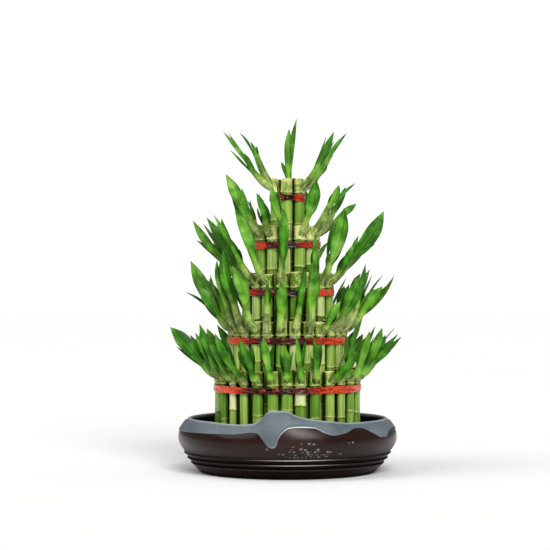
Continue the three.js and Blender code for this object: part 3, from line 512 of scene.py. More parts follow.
def leaf_look():
    """Leaves: cream at the sheath, deep green on the blade, with long veins and darker margins, painted
    sheen in lighter streaks and patches, and painted shade on one half of the blade.
    """
    look = Look("leaf", roughness=0.42, Specular_IOR_Level=0.15)
    along, across, tone = look.fact("along"), look.fact("across"), look.fact("tone")
    off_rib = look.math("ABSOLUTE", across)
    clouds = look.noise(60, 60, 60)
    lanes = (look.times(across, 9.0), look.times(along, 1.2), look.times(tone, 37.0))
    veins = look.noise_at(look.node("ShaderNodeCombineXYZ", *lanes).outputs[0])
    look.colour = look.ramp(
        look.ranged(look.plus(along, look.ranged(veins, 0.3, 0.7, -0.07, 0.07)), -0.4, 1.0),
        (0.0, 222, 220, 160), (0.15, 204, 212, 128), (0.27, 148, 182, 76), (0.4, 86, 154, 26),
        (0.56, 56, 142, 12), (1.0, 36, 112, 8),
    )
    look.tint(look.ranged(tone, 0.5, 1.0, 0.0, 0.75), 20, 86, 4)
    look.tint(look.ranged(tone, 0.45, 0.0, 0.0, 0.7), 130, 190, 58)
    # Lighter along the veins, partly vein colour and partly painted sheen, and painted sheen in light patches
    look.tint(look.ranged(veins, 0.35, 0.65, 0.0, 0.5), 124, 192, 56)
    look.tint(look.ranged(clouds, 0.44, 0.28, 0.0, 0.45), 166, 206, 112)
    look.tint(look.ranged(clouds, 0.42, 0.62, 0.0, 0.7), 12, 62, 2)
    look.tint(look.ranged(off_rib, 0.0, 0.13, 0.22, 0.0), 134, 186, 60)
    # Painted shade on one half of the folded blade
    half = look.times(look.ranged(across, -0.05, 0.05), look.ranged(along, 0.1, 0.4, 0.0, 0.3))
    look.tint(half, 10, 60, 3)
    look.tint(look.ranged(off_rib, 0.74, 1.0, 0.0, 0.55), 10, 48, 3)
    look.tint(look.times(look.fact("pale"), 0.9), 222, 216, 158)
    scars = look.ranged(look.noise(330, 330, 220), 0.48, 0.6)
    look.tint(look.times(scars, look.ranged(along, 0.12, -0.1, 0.0, 0.38)), 62, 74, 18)
    look.tint(look.times(look.fact("dark"), look.ranged(veins, 0.3, 0.6, 0.5, 1.0)), 88, 78, 44)
    look.set("Roughness", look.ranged(veins, 0.3, 0.7, 0.38, 0.54))
    look.bump(veins, 0.16)
    return look.done()


def ribbon_look():
    """Satin: orange-red where it lies flat, dark wine red where it is drawn together in front as painted
    dark reflection, crinkled, with painted shade in its folds' hollows.
    """
    look = Look("satin", roughness=0.25, Specular_IOR_Level=0.32)
    folds = look.noise(60, 60, 520)
    crinkle = look.noise(420, 420, 900, detail=2)
    # Painted shade: darker where the folds and crinkles sink
    wide_crease_shade = look.ranged(folds, 0.3, 0.7, -0.14, 0.14)
    crease_shade = look.plus(wide_crease_shade, look.ranged(crinkle, 0.35, 0.65, -0.2, 0.2))
    look.colour = look.ramp(
        look.plus(look.fact("tone"), crease_shade),
        (0.0, 34, 1, 1), (0.4, 104, 8, 3), (0.7, 176, 36, 12), (1.0, 230, 84, 34),
    )
    # Painted shade in the crease between the strands and between the knots' pleats
    look.tint(look.times(look.fact("dark"), 0.9), 14, 0, 0)
    look.set("Roughness", look.ranged(folds, 0.3, 0.7, 0.1, 0.2))
    look.bump(look.weighed(folds, 0.5, crinkle, 0.5), 0.7)
    return look.done()


def clay_look(name, gloss, tone):
    """Dark brown stoneware body with turning lines and fine grains, painted highlights on its tool marks
    and ledge lips, and painted shade in its grooves, under the glaze and low on the belly.
    """
    look = Look(name, roughness=0.35, Specular_IOR_Level=gloss)
    turning = look.noise(6, 6, 900)
    grains = look.noise(900, 900, 900, detail=2)
    clouds = look.noise(28, 28, 50, detail=4)
    look.colour = look.ramp(
        look.weighed(clouds, 0.6, turning, 0.4),
        (0.35, 25 * tone, 8 * tone, 2 * tone), (0.5, 37 * tone, 15 * tone, 7 * tone),
        (0.68, 52 * tone, 27 * tone, 16 * tone),
    )
    look.tint(look.ranged(grains, 0.62, 0.74, 0.0, 0.3), 64, 48, 42)
    # Painted highlights: glints on the tool marks and on the upper ledge's lip
    look.tint(look.fact("pale"), 214, 206, 200)
    # Painted shade in the grooves, under the glaze's edge and low on the belly, and the dark inside
    look.tint(look.fact("dark"), 9, 5, 3)
    satin = look.ranged(clouds, 0.3, 0.7, 0.25, 0.31)
    look.set("Roughness", look.plus(satin, look.times(look.fact("dark"), 0.45)))
    look.bump(look.weighed(turning, 0.5, grains, 0.5), 0.04)
    return look.done()


def glaze_look():
    """Matt blue-grey glaze: cloudy, with brush rings and pinholes, glossy at its thick edge, with painted
    highlights on that edge and the rim and painted shade across its front.
    """
    look = Look("blue_grey_glaze", roughness=0.5)
    clouds = look.noise(34, 34, 60, detail=4)
    brush = look.noise(9, 9, 420)
    look.colour = look.ramp(
        look.weighed(clouds, 0.8, brush, 0.2),
        (0.32, 74, 87, 93), (0.5, 88, 101, 107), (0.7, 102, 114, 119),
    )
    pinholes = look.ranged(look.noise(700, 700, 700, detail=1), 0.68, 0.76)
    look.tint(look.times(pinholes, 0.4), 60, 68, 74)
    # Painted shade across the glaze's front and in a line above its edge's glint
    look.tint(look.fact("dark"), 48, 58, 64)
    # Painted highlights on the glaze's edge and along the rim
    look.tint(look.fact("pale"), 246, 248, 250)
    matt = look.ranged(clouds, 0.3, 0.7, 0.44, 0.58)
    look.set("Roughness", look.plus(matt, look.times(look.fact("pale"), -0.26)))
    look.bump(look.plus(brush, look.times(pinholes, -0.5)), 0.1)
    return look.done()


def water_look():
    look = Look("still_water", roughness=0.04, IOR=1.33, Transmission_Weight=0.85)
    ripples = look.noise(70, 70, 70, detail=2)
    look.colour = look.mix(ripples, rgb(196, 214, 206), rgb(214, 226, 216))
    look.bump(ripples, 0.4)
    return look.done()


PLANT = [cane_look(), pith_look(), leaf_look()]
CANE, PITH, LEAF = range(3)
# The foot's clay is the body's made darker, as painted shade, and barely glossy
POTTERY = [clay_look("stoneware", 0.26, 0.9), glaze_look(), clay_look("stoneware_foot_shaded", 0.02, 0.5)]
CLAY, GLAZE, SHADED_FOOT_CLAY = range(3)
SATIN, WATER = ribbon_look(), water_look()

# Where the stalks stand


def axis_point(radius, angle, z):
    """A point in a node's own frame, where -Y is outward."""
    return np.array([radius * math.sin(angle), -radius * math.cos(angle), z])


def stands_of(tier):
    """The nodes of a ring: the azimuth of each and whether it holds a pair of stalks."""
    if tier["name"] in STANDS:
        form = STANDS[tier["name"]]
        count = form.get("pairs") or form["alone"]
        return [(form["start"] + 360 * n / count, "pairs" in form) for n in range(count)]
    seen = [(azimuth, n in OUTER_PAIRED) for n, azimuth in enumerate(OUTER_RING)]
    behind = [(OUTER_BEHIND["start"] + n * OUTER_BEHIND["step"], True) for n in range(OUTER_BEHIND["pairs"])]
    return seen + behind


def half_way(st, other):
    """Half the turn from one stalk to another about the tower's axis."""
    turn = other.facing + other.angle - st.facing - st.angle
    return math.atan2(math.sin(turn), math.cos(turn)) / 2


def stalks_of(tier, t):
    """Every stalk of a ring, in order round it, with the sector that it has to itself."""
    lean = math.asin(PAIR_PART / 2 / tier["ring"])
    stalks = []
    for node, (azimuth, pair) in enumerate(stands_of(tier)):
        for side in (-1, 1) if pair else (0,):
            place = dict(tier=tier, t=t, node=node, side=side, pair=pair)
            stalks.append(SimpleNamespace(**place, facing=rad(azimuth), angle=side * lean))
    for s, st in enumerate(stalks):
        st.s = s
        st.low = st.angle + half_way(st, stalks[s - 1])
        st.high = st.angle + half_way(st, stalks[(s + 1) % len(stalks)])
        thick = OUTER_THICK.get(st.node, 1) if t == 0 else 1
        st.radius = STALK_RADIUS * thick - (TOP_THINNER if t == 4 else 0) + spread(t, s, 2, 0.1)
        st.ridge = st.radius + (RIDGE if st.pair else RIDGE_ALONE)
        st.top = FLOOR_Z + tier["cut"] + spread(t, s, 1, 1.3)
        st.collar = FLOOR_Z + tier["cut"] - RIDGE_DROP + spread(t, s, 8, 0.3)
        st.head = axis_point(tier["ring"], st.angle, st.top)
        st.foot = axis_point(tier["ring"], st.angle + st.side * FOOT_PART / 2 / tier["ring"], FLOOR_Z)
    return stalks


# Canes

CANE_SIDES = 24
FULL_TURN = 6.28
# The distance from node to node down a stalk, and from the cut top to the first one under the ridge
NODE_STEP = 38.0
FIRST_NODE_DROP = 46.0
# The distance between two rows of points
LONGEST_STEP, SHORTEST_STEP = 14.0, 0.12
# Where the rows of points stand about a node, in height above it
NODE_ROWS = np.array([-4, -2.6, -1.6, -0.9, -0.5, -0.2, 0.1, 0.4, 0.8, 1.5, 2.6, 4])
# The twelve stalks of the outer ring that stand in front: the height of each one's upper old node,
# and its tone under the ribbon, from deep green at 0 to pale at 1
OLD_NODES = (66, 58, 69, 52, 64, 69, 70, 75, 61, 62, 61, 67)
UNDER_RIBBON = (0.62, 0.3, 0.98, 0.62, 0.42, 0.52, 0.5, 0.98, 0.35, 0.6, 0.62, 0.5)
# The ridge under the cut top and the older nodes: how ragged their line is, how deep the hollow under
# them is, how dark the painted shade under them is and how far down it reaches
RIDGE_FORM = dict(ragged=1.3, hollow=0.2, dark=0.8, down=1.5)
NODE_FORM = dict(ragged=1.0, hollow=0.12, dark=0.5, down=1.1)
# How far the ridge's crest stands over that of the solid, and an older node over the stalk
RIDGE_ROUGH, NODE_HEIGHT = 0.25, 0.32
# Softness of the edge of the painted shade on a stalk's sides
SHADE_EDGE = 0.46
# The rings of points of a cut end: size as a share of the stalk's, height over its edge, paleness
CUT_END = ((0.97, 0.25, 1.0), (0.9, 0.3, 0.9), (0.84, -0.15, 0.3), (0.55, -0.3, 0.0), (0.2, -0.35, 0.0))


def stands_in_front(st):
    return st.t == 0 and st.s < len(OLD_NODES)


def node_heights(st):
    """Heights of a stalk's nodes from its last one, the ridge under the cut top, down to the floor."""
    if stands_in_front(st):
        upper = OLD_NODES[st.s]
    elif st.t == 0:
        upper = 60 + 9 * draw(0, st.s, 7)
    else:
        upper = st.top - FIRST_NODE_DROP + spread(st.t, st.s, 40, 5)
    heights = [st.collar, upper]
    while heights[-1] - NODE_STEP > FLOOR_Z + 6:
        heights.append(heights[-1] - NODE_STEP + spread(st.t, st.s, 41 + len(heights), 5))
    return heights


def cane_levels(st, nodes):
    """Heights of a stalk's rows of points, close together at its nodes and its top."""
    levels = [FLOOR_Z, st.top - 2.4, st.top - 1.0, st.top - 0.35]
    for z in nodes:
        levels += [x for x in z + NODE_ROWS if FLOOR_Z + 0.5 < x < st.top - 2.8]
    levels.sort()
    filled = levels[:1]
    for z in levels[1:]:
        gap = z - filled[-1]
        if gap > SHORTEST_STEP:
            steps = max(1, math.ceil(gap / LONGEST_STEP))
            filled += [filled[-1] + gap * k / steps for k in range(1, steps + 1)]
    return filled


def cane(shape, st):
    """A round stalk with its node ridges, ragged leaf scars and cut top."""
    nodes = node_heights(st)
    levels = cane_levels(st, nodes)
    z = np.array(levels)[:, None]
    turn = around(CANE_SIDES)[None, :]
    phase = FULL_TURN * draw(st.t, st.s, 50)

    radius = st.radius * (1 + 0.008 * np.cos(2 * turn + phase)) - 0.2 * smooth(z, st.collar, st.top)
    tone, pale, dark = np.zeros((3, len(levels), CANE_SIDES))
    for k, zk in enumerate(nodes):
        form = NODE_FORM if k else RIDGE_FORM
        ragged = 0.35 * np.sin(3 * turn + phase + k) + 0.25 * np.sin(7 * turn + 2 * phase)
        ragged = ragged + 0.15 * np.sin(11 * turn + k)
        off = z - zk - ragged * form["ragged"]
        height = NODE_HEIGHT if k else st.ridge - st.radius + RIDGE_ROUGH
        radius = radius + height * np.where(off > 0, bell(off, 1.7), bell(off, 0.5))
        radius = radius - form["hollow"] * bell(off + 1.6, 1.2)
        scar = np.where(off > 0, bell(off, 0.7), bell(off, 0.3))
        pale += (0.75 + 0.25 * draw(st.t, st.s, 60 + k)) * scar
        # Painted shade under the node
        dark += form["dark"] * bell(off + 1.7, form["down"])
        below = draw(st.t, st.s, 70 + k) * 0.5 + 0.25
        if k == 0:
            radius = radius + 0.16 * np.sin(6 * turn + 3 * phase) * bell(off - 0.6, 1.4)
            below = UNDER_RIBBON[st.s] if stands_in_front(st) else below + 0.1
        tone = np.where(off < 0, below, tone if k else st.tier["head_tone"])
    upper = smooth(z, st.collar - 0.2, st.collar + 0.6) * np.ones_like(turn)
    pale = np.clip(pale + 0.7 * smooth(z, st.top - 1.6, st.top - 0.3), 0, 1)

    # Painted shade on its sides, where its neighbours stand close, carried in across and taken off the tone
    out = axis_point(1, st.angle, 0)
    outward = np.cos(turn) * out[0] + np.sin(turn) * out[1]
    shade = 1 - smooth(outward, st.tier["side_shade"] - SHADE_EDGE, st.tier["side_shade"])

    # The stalk is upright down to its ribbon, and leans to its foot from there
    bend = st.top - RIBBON_DROP
    share = np.clip((bend - z) / (bend - FLOOR_Z), 0, None)
    lean = st.foot - st.head
    sag = 1 + 0.03 * np.sin(z / 30 + phase)
    wide, deep = radius * np.cos(turn), radius * np.sin(turn)
    x = st.head[0] + lean[0] * share * sag + wide
    y = st.head[1] + lean[1] * share * sag + deep
    slant = (spread(st.t, st.s, 4, 0.12), spread(st.t, st.s, 5, 0.12))
    tilt = (wide * slant[0] + deep * slant[1]) * smooth(z, st.top - 3, st.top)
    points = np.stack([x, y, z + tilt], axis=-1)
    first = shape.tube(
        points,
        slot=CANE,
        end_cap=False,
        tone=tone - 0.2 * shade,
        pale=pale,
        dark=np.clip(dark, 0, 1),
        upper=upper,
        across=shade,
    )

    # The cut end
    rim = points[-1] - [st.head[0], st.head[1], 0]
    rings = []
    for size, raised, _ in CUT_END:
        ring = rim * [size, size, 1] + [st.head[0], st.head[1], raised]
        ring[:, 2] -= tilt[-1] * (1 - size)
        rings.append(ring)
    low = first + (len(levels) - 1) * CANE_SIDES
    high = shape.add(np.stack(rings), pale=np.array(CUT_END)[:, 2:])
    for _ in rings:
        shape.strip(low, high, CANE_SIDES, PITH)
        low, high = high, high + CANE_SIDES
    shape.face([low + i for i in range(CANE_SIDES)], PITH)


# Shoots

STEM_SIDES = 14
STEM_END = 0.97
# Radius of a stem at places along it, from the stalk's axis to where the leaves part
STEM_PLACES, STEM_RADII = (0, 0.3, 0.6, 1.0), (3.2, 4.3, 4.0, 2.9)
SHEATH_OUT = 0.25
# Share of its sector, from the middle, in which a shoot isn't bent
FREE_SHARE = 0.6
LEAF_THICK = 0.9
KEEL_HEIGHT, KEEL_WIDTH = 0.22, 0.13


def shoot_of(st):
    """Lean, swing, length, stem and leaves of a stalk's shoot, as set for it or drawn."""
    side = {-1: "L", 0: "", 1: "R"}[st.side]
    seen = SEEN.get(f"{st.t + 1}.{st.node}{side}", {})
    t, s = st.t, st.s
    azimuth = math.degrees(st.facing + st.angle)
    aim = seen.get("aim", azimuth + spread(t, s, 12, 12))
    front = 1 - st.tier["shorter"] * max(0, math.cos(rad(azimuth))) ** 2
    drawn = []
    for n, form in enumerate(LEAVES):
        part = form["part"] + spread(t, s, 30 + n, 5)
        drawn.append((form["long"] * (1 + spread(t, s, 20 + n, 0.14)), part, 1 + spread(t, s, 34 + n, 0.2)))
    leaves = seen.get("leaves", drawn)
    turn = -aim if seen else spread(t, s, 15, 60)
    return SimpleNamespace(
        bare=seen.get("bare", False),
        tilt=rad(seen.get("lean", st.tier["tilt"] + spread(t, s, 11, 6))),
        swing=rad(aim - azimuth),
        reach=seen.get("long", st.tier["reach"] * front * (1 + spread(t, s, 13, 0.1))),
        stem=seen.get("stem", STEM_SHARE + spread(t, s, 16, 0.05)),
        turn=rad(seen.get("turn", turn)),
        long=[leaf[0] for leaf in leaves],
        part=[rad(leaf[1]) for leaf in leaves],
        open=[rad(seen.get("open", form["open"])) for form in LEAVES],
        twist=[rad(seen.get("twist", (0, 0, 0))[n]) + spread(t, s, 100 + n, 0.3) for n in range(3)],
        wide=[form["wide"] * st.tier["wide"] * leaf[2] for form, leaf in zip(LEAVES, leaves)],
    )


def bend_clear(points, st):
    """Keeps points inside their stalk's own sector by easing their azimuth towards its edge."""
    r = np.hypot(points[..., 0], points[..., 1])
    middle = (st.low + st.high) / 2
    limit = (st.high - st.low) / 2 - SECTOR_GAP / r
    off = np.arctan2(points[..., 0], -points[..., 1]) - middle
    free = FREE_SHARE * limit
    over = np.clip(np.abs(off) - free, 0, None)
    room = limit - free
    eased = np.minimum(np.abs(off), free) + room * np.tanh(over / room)
    azimuth = middle + np.sign(off) * eased
    return np.stack([r * np.sin(azimuth), -r * np.cos(azimuth), points[..., 2]], axis=-1)


def bezier(a, b, c, t):
    t = np.asarray(t, float)[..., None]
    return (1 - t) ** 2 * a + 2 * t * (1 - t) * b + t * t * c


def blade_width(t):
    """Width along a blade as a share of its widest, drawn out to a fine tip."""
    rise = LEAF_BASE + (1 - LEAF_BASE) * np.sin(np.clip(t / LEAF_MID, 0, 1) * math.pi / 2)
    fall = np.cos(np.clip((t - LEAF_MID) / (1 - LEAF_MID), 0, 1) * math.pi / 2)
    return np.where(t < LEAF_MID, rise, fall)


FACE = np.linspace(-1, 1, 9)
BACK = np.linspace(0.8, -0.8, 7)
SECTION = np.concatenate([FACE, BACK])
OUTER = np.concatenate([np.ones(len(FACE)), -np.ones(len(BACK))])


def leaf(shape, st, line, back_side, half, fold, along, thick, twist, tone, dry):
    """A closed blade along a line. half and fold give, row by row, half its width and half the angle
    through which it is rolled. back_side is the way its outer face looks."""
    tangent = np.gradient(line, axis=0)
    tangent /= np.linalg.norm(tangent, axis=1)[:, None]
    back = back_side - (back_side * tangent).sum(1)[:, None] * tangent
    back /= np.linalg.norm(back, axis=1)[:, None]
    side = np.cross(tangent, back)
    c, s = np.cos(twist)[:, None], np.sin(twist)[:, None]
    back, side = c * back + s * side, c * side - s * back
    v = SECTION[None, :]
    fold = np.maximum(fold, 0.05)[:, None]
    rho = half[:, None] / fold
    angle = v * fold
    edge = 1 - np.abs(v) ** 3
    gauge = 0.5 * thick[:, None] * edge * OUTER[None, :]
    keel = KEEL_HEIGHT * bell(v, KEEL_WIDTH) * (OUTER[None, :] > 0)
    gauge = gauge + keel * (thick[:, None] / LEAF_THICK)
    reach = rho + gauge
    across = reach * np.sin(angle)
    outward = reach * np.cos(angle) - rho
    points = line[:, None, :] + across[..., None] * side[:, None, :] + outward[..., None] * back[:, None, :]
    points = bend_clear(points, st)
    first = shape.tube(
        points[:-1],
        slot=LEAF,
        end_cap=False,
        along=along[:-1, None],
        across=v,
        tone=tone,
        dark=(dry * smooth(along, 0.9, 1.0))[:-1, None],
    )
    tip = bend_clear(line[-1], st)
    last = first + (len(line) - 2) * len(SECTION)
    shape.tip(last, len(SECTION), tip, slot=LEAF, along=1.0, tone=tone, dark=dry)


def shoot(shape, st):
    """A shoot: a short thick stem of leaf sheaths that leaves the stalk outward and bends up, and parts
    into long leaves, a rolled young one in the middle and a small one low down."""
    sh = shoot_of(st)
    if sh.bare:
        return
    t, s = st.t, st.s
    out = axis_point(1, st.angle, 0)
    level = turned(out, sh.swing)
    axis = math.cos(sh.tilt) * UP + math.sin(sh.tilt) * level
    a = unit(level - level.dot(axis) * axis)
    b = np.cross(axis, a)
    root = st.head * [1, 1, 0] + [0, 0, st.top - SHOOT_DROP]
    bend = root + out * (st.radius + st.tier["elbow"]) + UP
    end = bend + axis * sh.stem * sh.reach
    blades = (1 - sh.stem) * sh.reach

    def stem(u):
        return bezier(root, bend, end, u)

    def stem_radius(u):
        return st.tier["stout"] * np.interp(u, STEM_PLACES, STEM_RADII)

    def across_stem(u):
        """Two directions square to the stem at u."""
        tangent = unit(2 * (1 - u) * (bend - root) + 2 * u * (end - bend))
        over = unit(b - b.dot(tangent) * tangent)
        return np.cross(over, tangent), over

    def grow(turn, begin, long, half, open_angle, part, twist, item, wrap=1.7, folded=0.6, spear=False):
        """One leaf, from its sheath round the stem at begin to its tip. A spear has no sheath."""
        away = a * math.cos(turn) + b * math.sin(turn)
        foot = stem(STEM_END) + away * (stem_radius(1.0) + 0.1) * (0.3 if spear else 1.0)
        middle = foot + axis * 0.5 * long + away * (0.5 * long * math.tan(open_angle))
        middle = middle + np.cross(axis, away) * long * (0 if spear else spread(t, s, 120 + item, 0.12))
        tip = end + axis * long * math.cos(part) + away * long * math.sin(part)
        q = np.concatenate([np.linspace(0, 0.3, 5), np.linspace(0.3, 0.94, 9)[1:], [0.975, 1.0]])
        line = bezier(foot, middle, tip, q)
        width = half * blade_width(q)
        if spear:
            halves, folds, along = width, np.full(len(q), folded), 0.1 + 0.9 * q
        else:
            sheath_u = np.linspace(begin, STEM_END, 5)[:-1]
            sheath = np.array([stem(u) + away * (stem_radius(u) + SHEATH_OUT) for u in sheath_u])
            flare = smooth(q, 0, 0.3)
            blade_half = wrap * (stem_radius(1.0) + 0.2) * (1 - flare) + width * flare
            line = np.concatenate([sheath, line])
            halves = np.concatenate([wrap * (stem_radius(sheath_u) + SHEATH_OUT), blade_half])
            folds = np.concatenate([np.full(len(sheath), wrap), wrap * (1 - flare) + folded * flare])
            along = np.concatenate([np.linspace(-0.3, -0.02, len(sheath)), 0.02 + 0.98 * q])
        thick = LEAF_THICK - 0.35 * smooth(along, 0.1, 0.9)
        twists = twist * smooth(along, 0, 0.45)
        along = along + st.tier["green"] * (1 - smooth(along, 0.0, 1.0))
        dry = float(draw(t, s, 130 + item) > 0.7)
        leaf(shape, st, line, away, halves, folds, along, thick, twists, draw(t, s, 90 + item), dry)

    # The stem, with a scar where each old leaf stood
    places = np.linspace(0.14, STEM_END, 16)
    turn = around(STEM_SIDES)
    rows, pale = [], []
    for k, u in enumerate(places):
        up, over = across_stem(u)
        scar = (k % 4) / 3
        radius = stem_radius(u) * (0.94 + 0.08 * scar)
        wobble = 1 + 0.05 * np.sin(3 * turn + 5 * draw(t, s, 80) + 2 * u)
        ring = np.cos(turn)[:, None] * up + np.sin(turn)[:, None] * over
        rows.append(stem(u) + (radius * wobble)[:, None] * ring)
        pale.append(0.75 * (1 - u) * (0.6 + 0.4 * scar))
    shape.tube(
        bend_clear(np.array(rows), st),
        slot=LEAF,
        along=(-0.42 + 0.34 * places + st.tier["green"])[:, None],
        tone=draw(t, s, 81),
        pale=np.array(pale)[:, None],
    )

    for n, form in enumerate(LEAVES):
        aim = sh.turn + rad(form["turn"])
        begin = 0.5 - 0.14 * n
        grow(aim, begin, blades * sh.long[n], 0.5 * sh.wide[n], sh.open[n], sh.part[n], sh.twist[n], n)
    # The young leaf, still rolled, and the small low leaf
    young = blades * (0.4 + 0.2 * draw(t, s, 110))
    grow(sh.turn + rad(60), STEM_END, young, 2.4, rad(2), rad(3), 0.0, 4, folded=1.3, spear=True)
    aim = sh.turn + rad(180 + spread(t, s, 112, 30))
    small = blades * (0.28 + 0.16 * draw(t, s, 111))
    part = rad(18 + spread(t, s, 113, 6))
    twist = spread(t, s, 114, 0.4)
    grow(aim, 0.2, small, 3.4 * st.tier["wide"], rad(22), part, twist, 5, wrap=1.4)


def leafy_nodes():
    """The nodes of all rings, each with its one or two stalks, and the rings' ribbons."""
    for t, tier in enumerate(TIERS):
        stalks = stalks_of(tier, t)
        for n, (azimuth, pair) in enumerate(stands_of(tier)):
            node = f"{tier['name']}_{'stalk_pair' if pair else 'stalk'}_{n + 1:02d}"
            shape = Shape()
            for st in (x for x in stalks if x.node == n):
                cane(shape, st)
                shoot(shape, st)
            shape.piece(node + "_fine", node, PLANT, "bamboo", turn=rad(azimuth))
        ribbon(tier, t, stalks)


def centre_stalk():
    """The straight stalk in the middle of the tower, with no shoot."""
    top = FLOOR_Z + TIERS[4]["cut"] + CENTRE_HIGHER
    radius = STALK_RADIUS - CENTRE_THINNER
    st = SimpleNamespace(tier=TIERS[4], s=40, t=4, angle=0, radius=radius, ridge=radius + RIDGE_ALONE)
    st.top, st.collar = top, top - RIDGE_DROP
    st.head = np.array([0, 0, top])
    st.foot = np.array([0, 0, FLOOR_Z])
    shape = Shape()
    cane(shape, st)
    shape.piece("centre_stalk_fine", "centre_stalk", PLANT, "bamboo")


# Ribbons

RIBBON_GAP = 0.25
RIBBON_STEP = 1.3
RIBBON_HALF, DRAWN_HALF = 3.9, 3.1
SATIN_THICK = 0.45
KNOT_HALF, KNOT_SIDES = 4.0, 18
# A ribbon's section, from its lower edge up outside and down inside, as a share of half its width
HEIGHTS = np.concatenate([np.linspace(-1, 1, 13), np.linspace(0.9, -0.9, 9)])
OUTSIDE = np.concatenate([np.ones(13), np.zeros(9)])


def loop_line(stalks, reach):
    """Points of a tight loop round a ring of stalks, with the outward direction at each."""
    centres = np.array([axis_point(st.tier["ring"], st.facing + st.angle, 0)[:2] for st in stalks])
    lines = np.roll(centres, -1, axis=0) - centres
    normals = np.stack([lines[:, 1], -lines[:, 0]], axis=1) / np.linalg.norm(lines, axis=1)[:, None]
    points, outs = [], []
    for i, centre in enumerate(centres):
        before, after = normals[i - 1], normals[i]
        swing = math.atan2(before[0] * after[1] - before[1] * after[0], before @ after)
        steps = max(2, math.ceil(abs(swing) * reach / RIBBON_STEP))
        for k in range(steps + 1):
            out = turned(before, swing * k / steps)
            points.append(centre + reach * out)
            outs.append(out)
        steps = max(2, math.ceil(np.linalg.norm(lines[i]) / RIBBON_STEP))
        for k in range(1, steps):
            points.append(centre + reach * after + lines[i] * k / steps)
            outs.append(after)
    return np.array(points), np.array(outs)


def ribbon(tier, t, stalks):
    """A ribbon wound tight round a ring of stalks: flat and wide at the sides, drawn into two twisted
    strands in front, with its knots a little left of the middle."""
    reach = max(st.radius for st in stalks) + RIBBON_GAP
    line, outs = loop_line(stalks, reach)
    azimuth = np.arctan2(line[:, 0], -line[:, 1])[:, None]
    steps = np.linalg.norm(np.roll(line, -1, axis=0) - line, axis=1)
    way = np.concatenate([[0], np.cumsum(steps)[:-1]])[:, None] / steps.sum() * 2 * math.pi
    front = bell(azimuth, 0.75)
    v = HEIGHTS[None, :]
    size = tier["ring"] / 14
    middle = FLOOR_Z + tier["cut"] - RIBBON_DROP
    half = RIBBON_HALF - (RIBBON_HALF - DRAWN_HALF) * front + 0.2 * np.sin(3 * azimuth + t)
    z = middle + v * half + 0.3 * np.sin(2 * azimuth + 2 * t)
    z = z + front * 0.35 * np.sin(9 * size * way + 2 * v)

    folds = np.zeros((len(line), len(HEIGHTS)))
    for k in range(7):
        waves = round((1 + 2.2 * k) * size / 2)
        folds += 0.16 * np.sin(waves * way + (1.5 + 1.3 * k) * v + FULL_TURN * draw(t, 60, k))
    between = v + 0.25 * np.sin(3 * size * way + t)
    strands = 0.55 * front * (1 - 2 * bell(between, 0.2))
    folds = np.clip(0.55 + folds * (0.7 + 0.8 * front) + strands, 0.05, 2.0)
    roll = -0.35 * np.abs(v) ** 6
    outward = np.where(OUTSIDE[None, :] > 0, SATIN_THICK + folds + roll, 0.0)
    points = np.concatenate([line[:, None, :] + outward[..., None] * outs[:, None, :], z[..., None]], axis=-1)
    # Painted dark reflection makes the front dark wine red; the upper rings are a little darker
    tone = 0.9 - 0.06 * t - 0.84 * np.exp(-((azimuth + 0.1) / 0.55) ** 4) + 0.12 * np.sin(5 * way + t)
    shape = Shape()
    # Painted shade in the crease between the two strands in front
    shape.tube(points, round_trip=True, tone=tone, dark=0.8 * front * bell(between, 0.22))
    for place in (KNOT_AZIMUTH, SECOND_KNOT) if t == 0 else (KNOT_AZIMUTH,):
        knot(shape, line, rad(place), middle, t)
    shape.piece(f"{tier['name']}_ribbon_fine", f"{tier['name']}_ribbon", [SATIN], "ribbon", sharp=80)


def knot(shape, line, azimuth, middle, t):
    """A small crumpled knot along the ribbon."""
    out = axis_point(1, azimuth, 0)[:2]
    side = np.array([-out[1], out[0]])
    reach = (line @ out).max() + 0.9
    lengths = np.linspace(-KNOT_HALF, KNOT_HALF, 13)
    turn = around(KNOT_SIDES)
    rows = []
    for x in lengths:
        size = 0.8 + 2.1 * math.cos(x / KNOT_HALF * 1.35) ** 0.8
        pleat = 1 + 0.16 * np.sin(5 * turn + x * 0.9 + t) + 0.1 * np.sin(2 * x + turn)
        up = size * pleat * np.sin(turn)
        forth = np.clip(0.62 * size * pleat * np.cos(turn), -0.7, None)
        centre = out * reach + side * (x + 0.3 * math.sin(x))
        rows.append(np.column_stack([centre + forth[:, None] * out, middle + up]))
    # Painted shade in the hollows between the knot's pleats
    dark = 0.5 + 0.5 * np.sin(5 * turn + lengths[:, None] * 0.9 + t + 3.14)
    shape.tube(np.array(rows)[:, ::-1], tone=0.45, dark=dark[:, ::-1] * 0.8)


# The bowl

# Radius and height of the turned foot's edges, from the table up
FOOT = [
    (92.5, 0), (94.6, 0.9), (103.9, 10.0), (102.7, 11.1),
    (107.9, 15.2), (106.7, 16.3), (111.3, 20.8), (110.1, 21.9),
]
BELLY_R, BELLY_Z = 117.4, 37.0
RIM_R, RIM_INNER, RIM_Z = 106.8, 103.6, 57.6
# Depth under its top at which the rim begins to round
RIM_ROUND = 3.2
# Radius and height of the inner wall, from under the rim to the floor
INNER = [(108.4, 45), (110.4, 36), (106.0, 20), (92.0, FLOOR_Z)]
GLAZE_THICK = 0.9
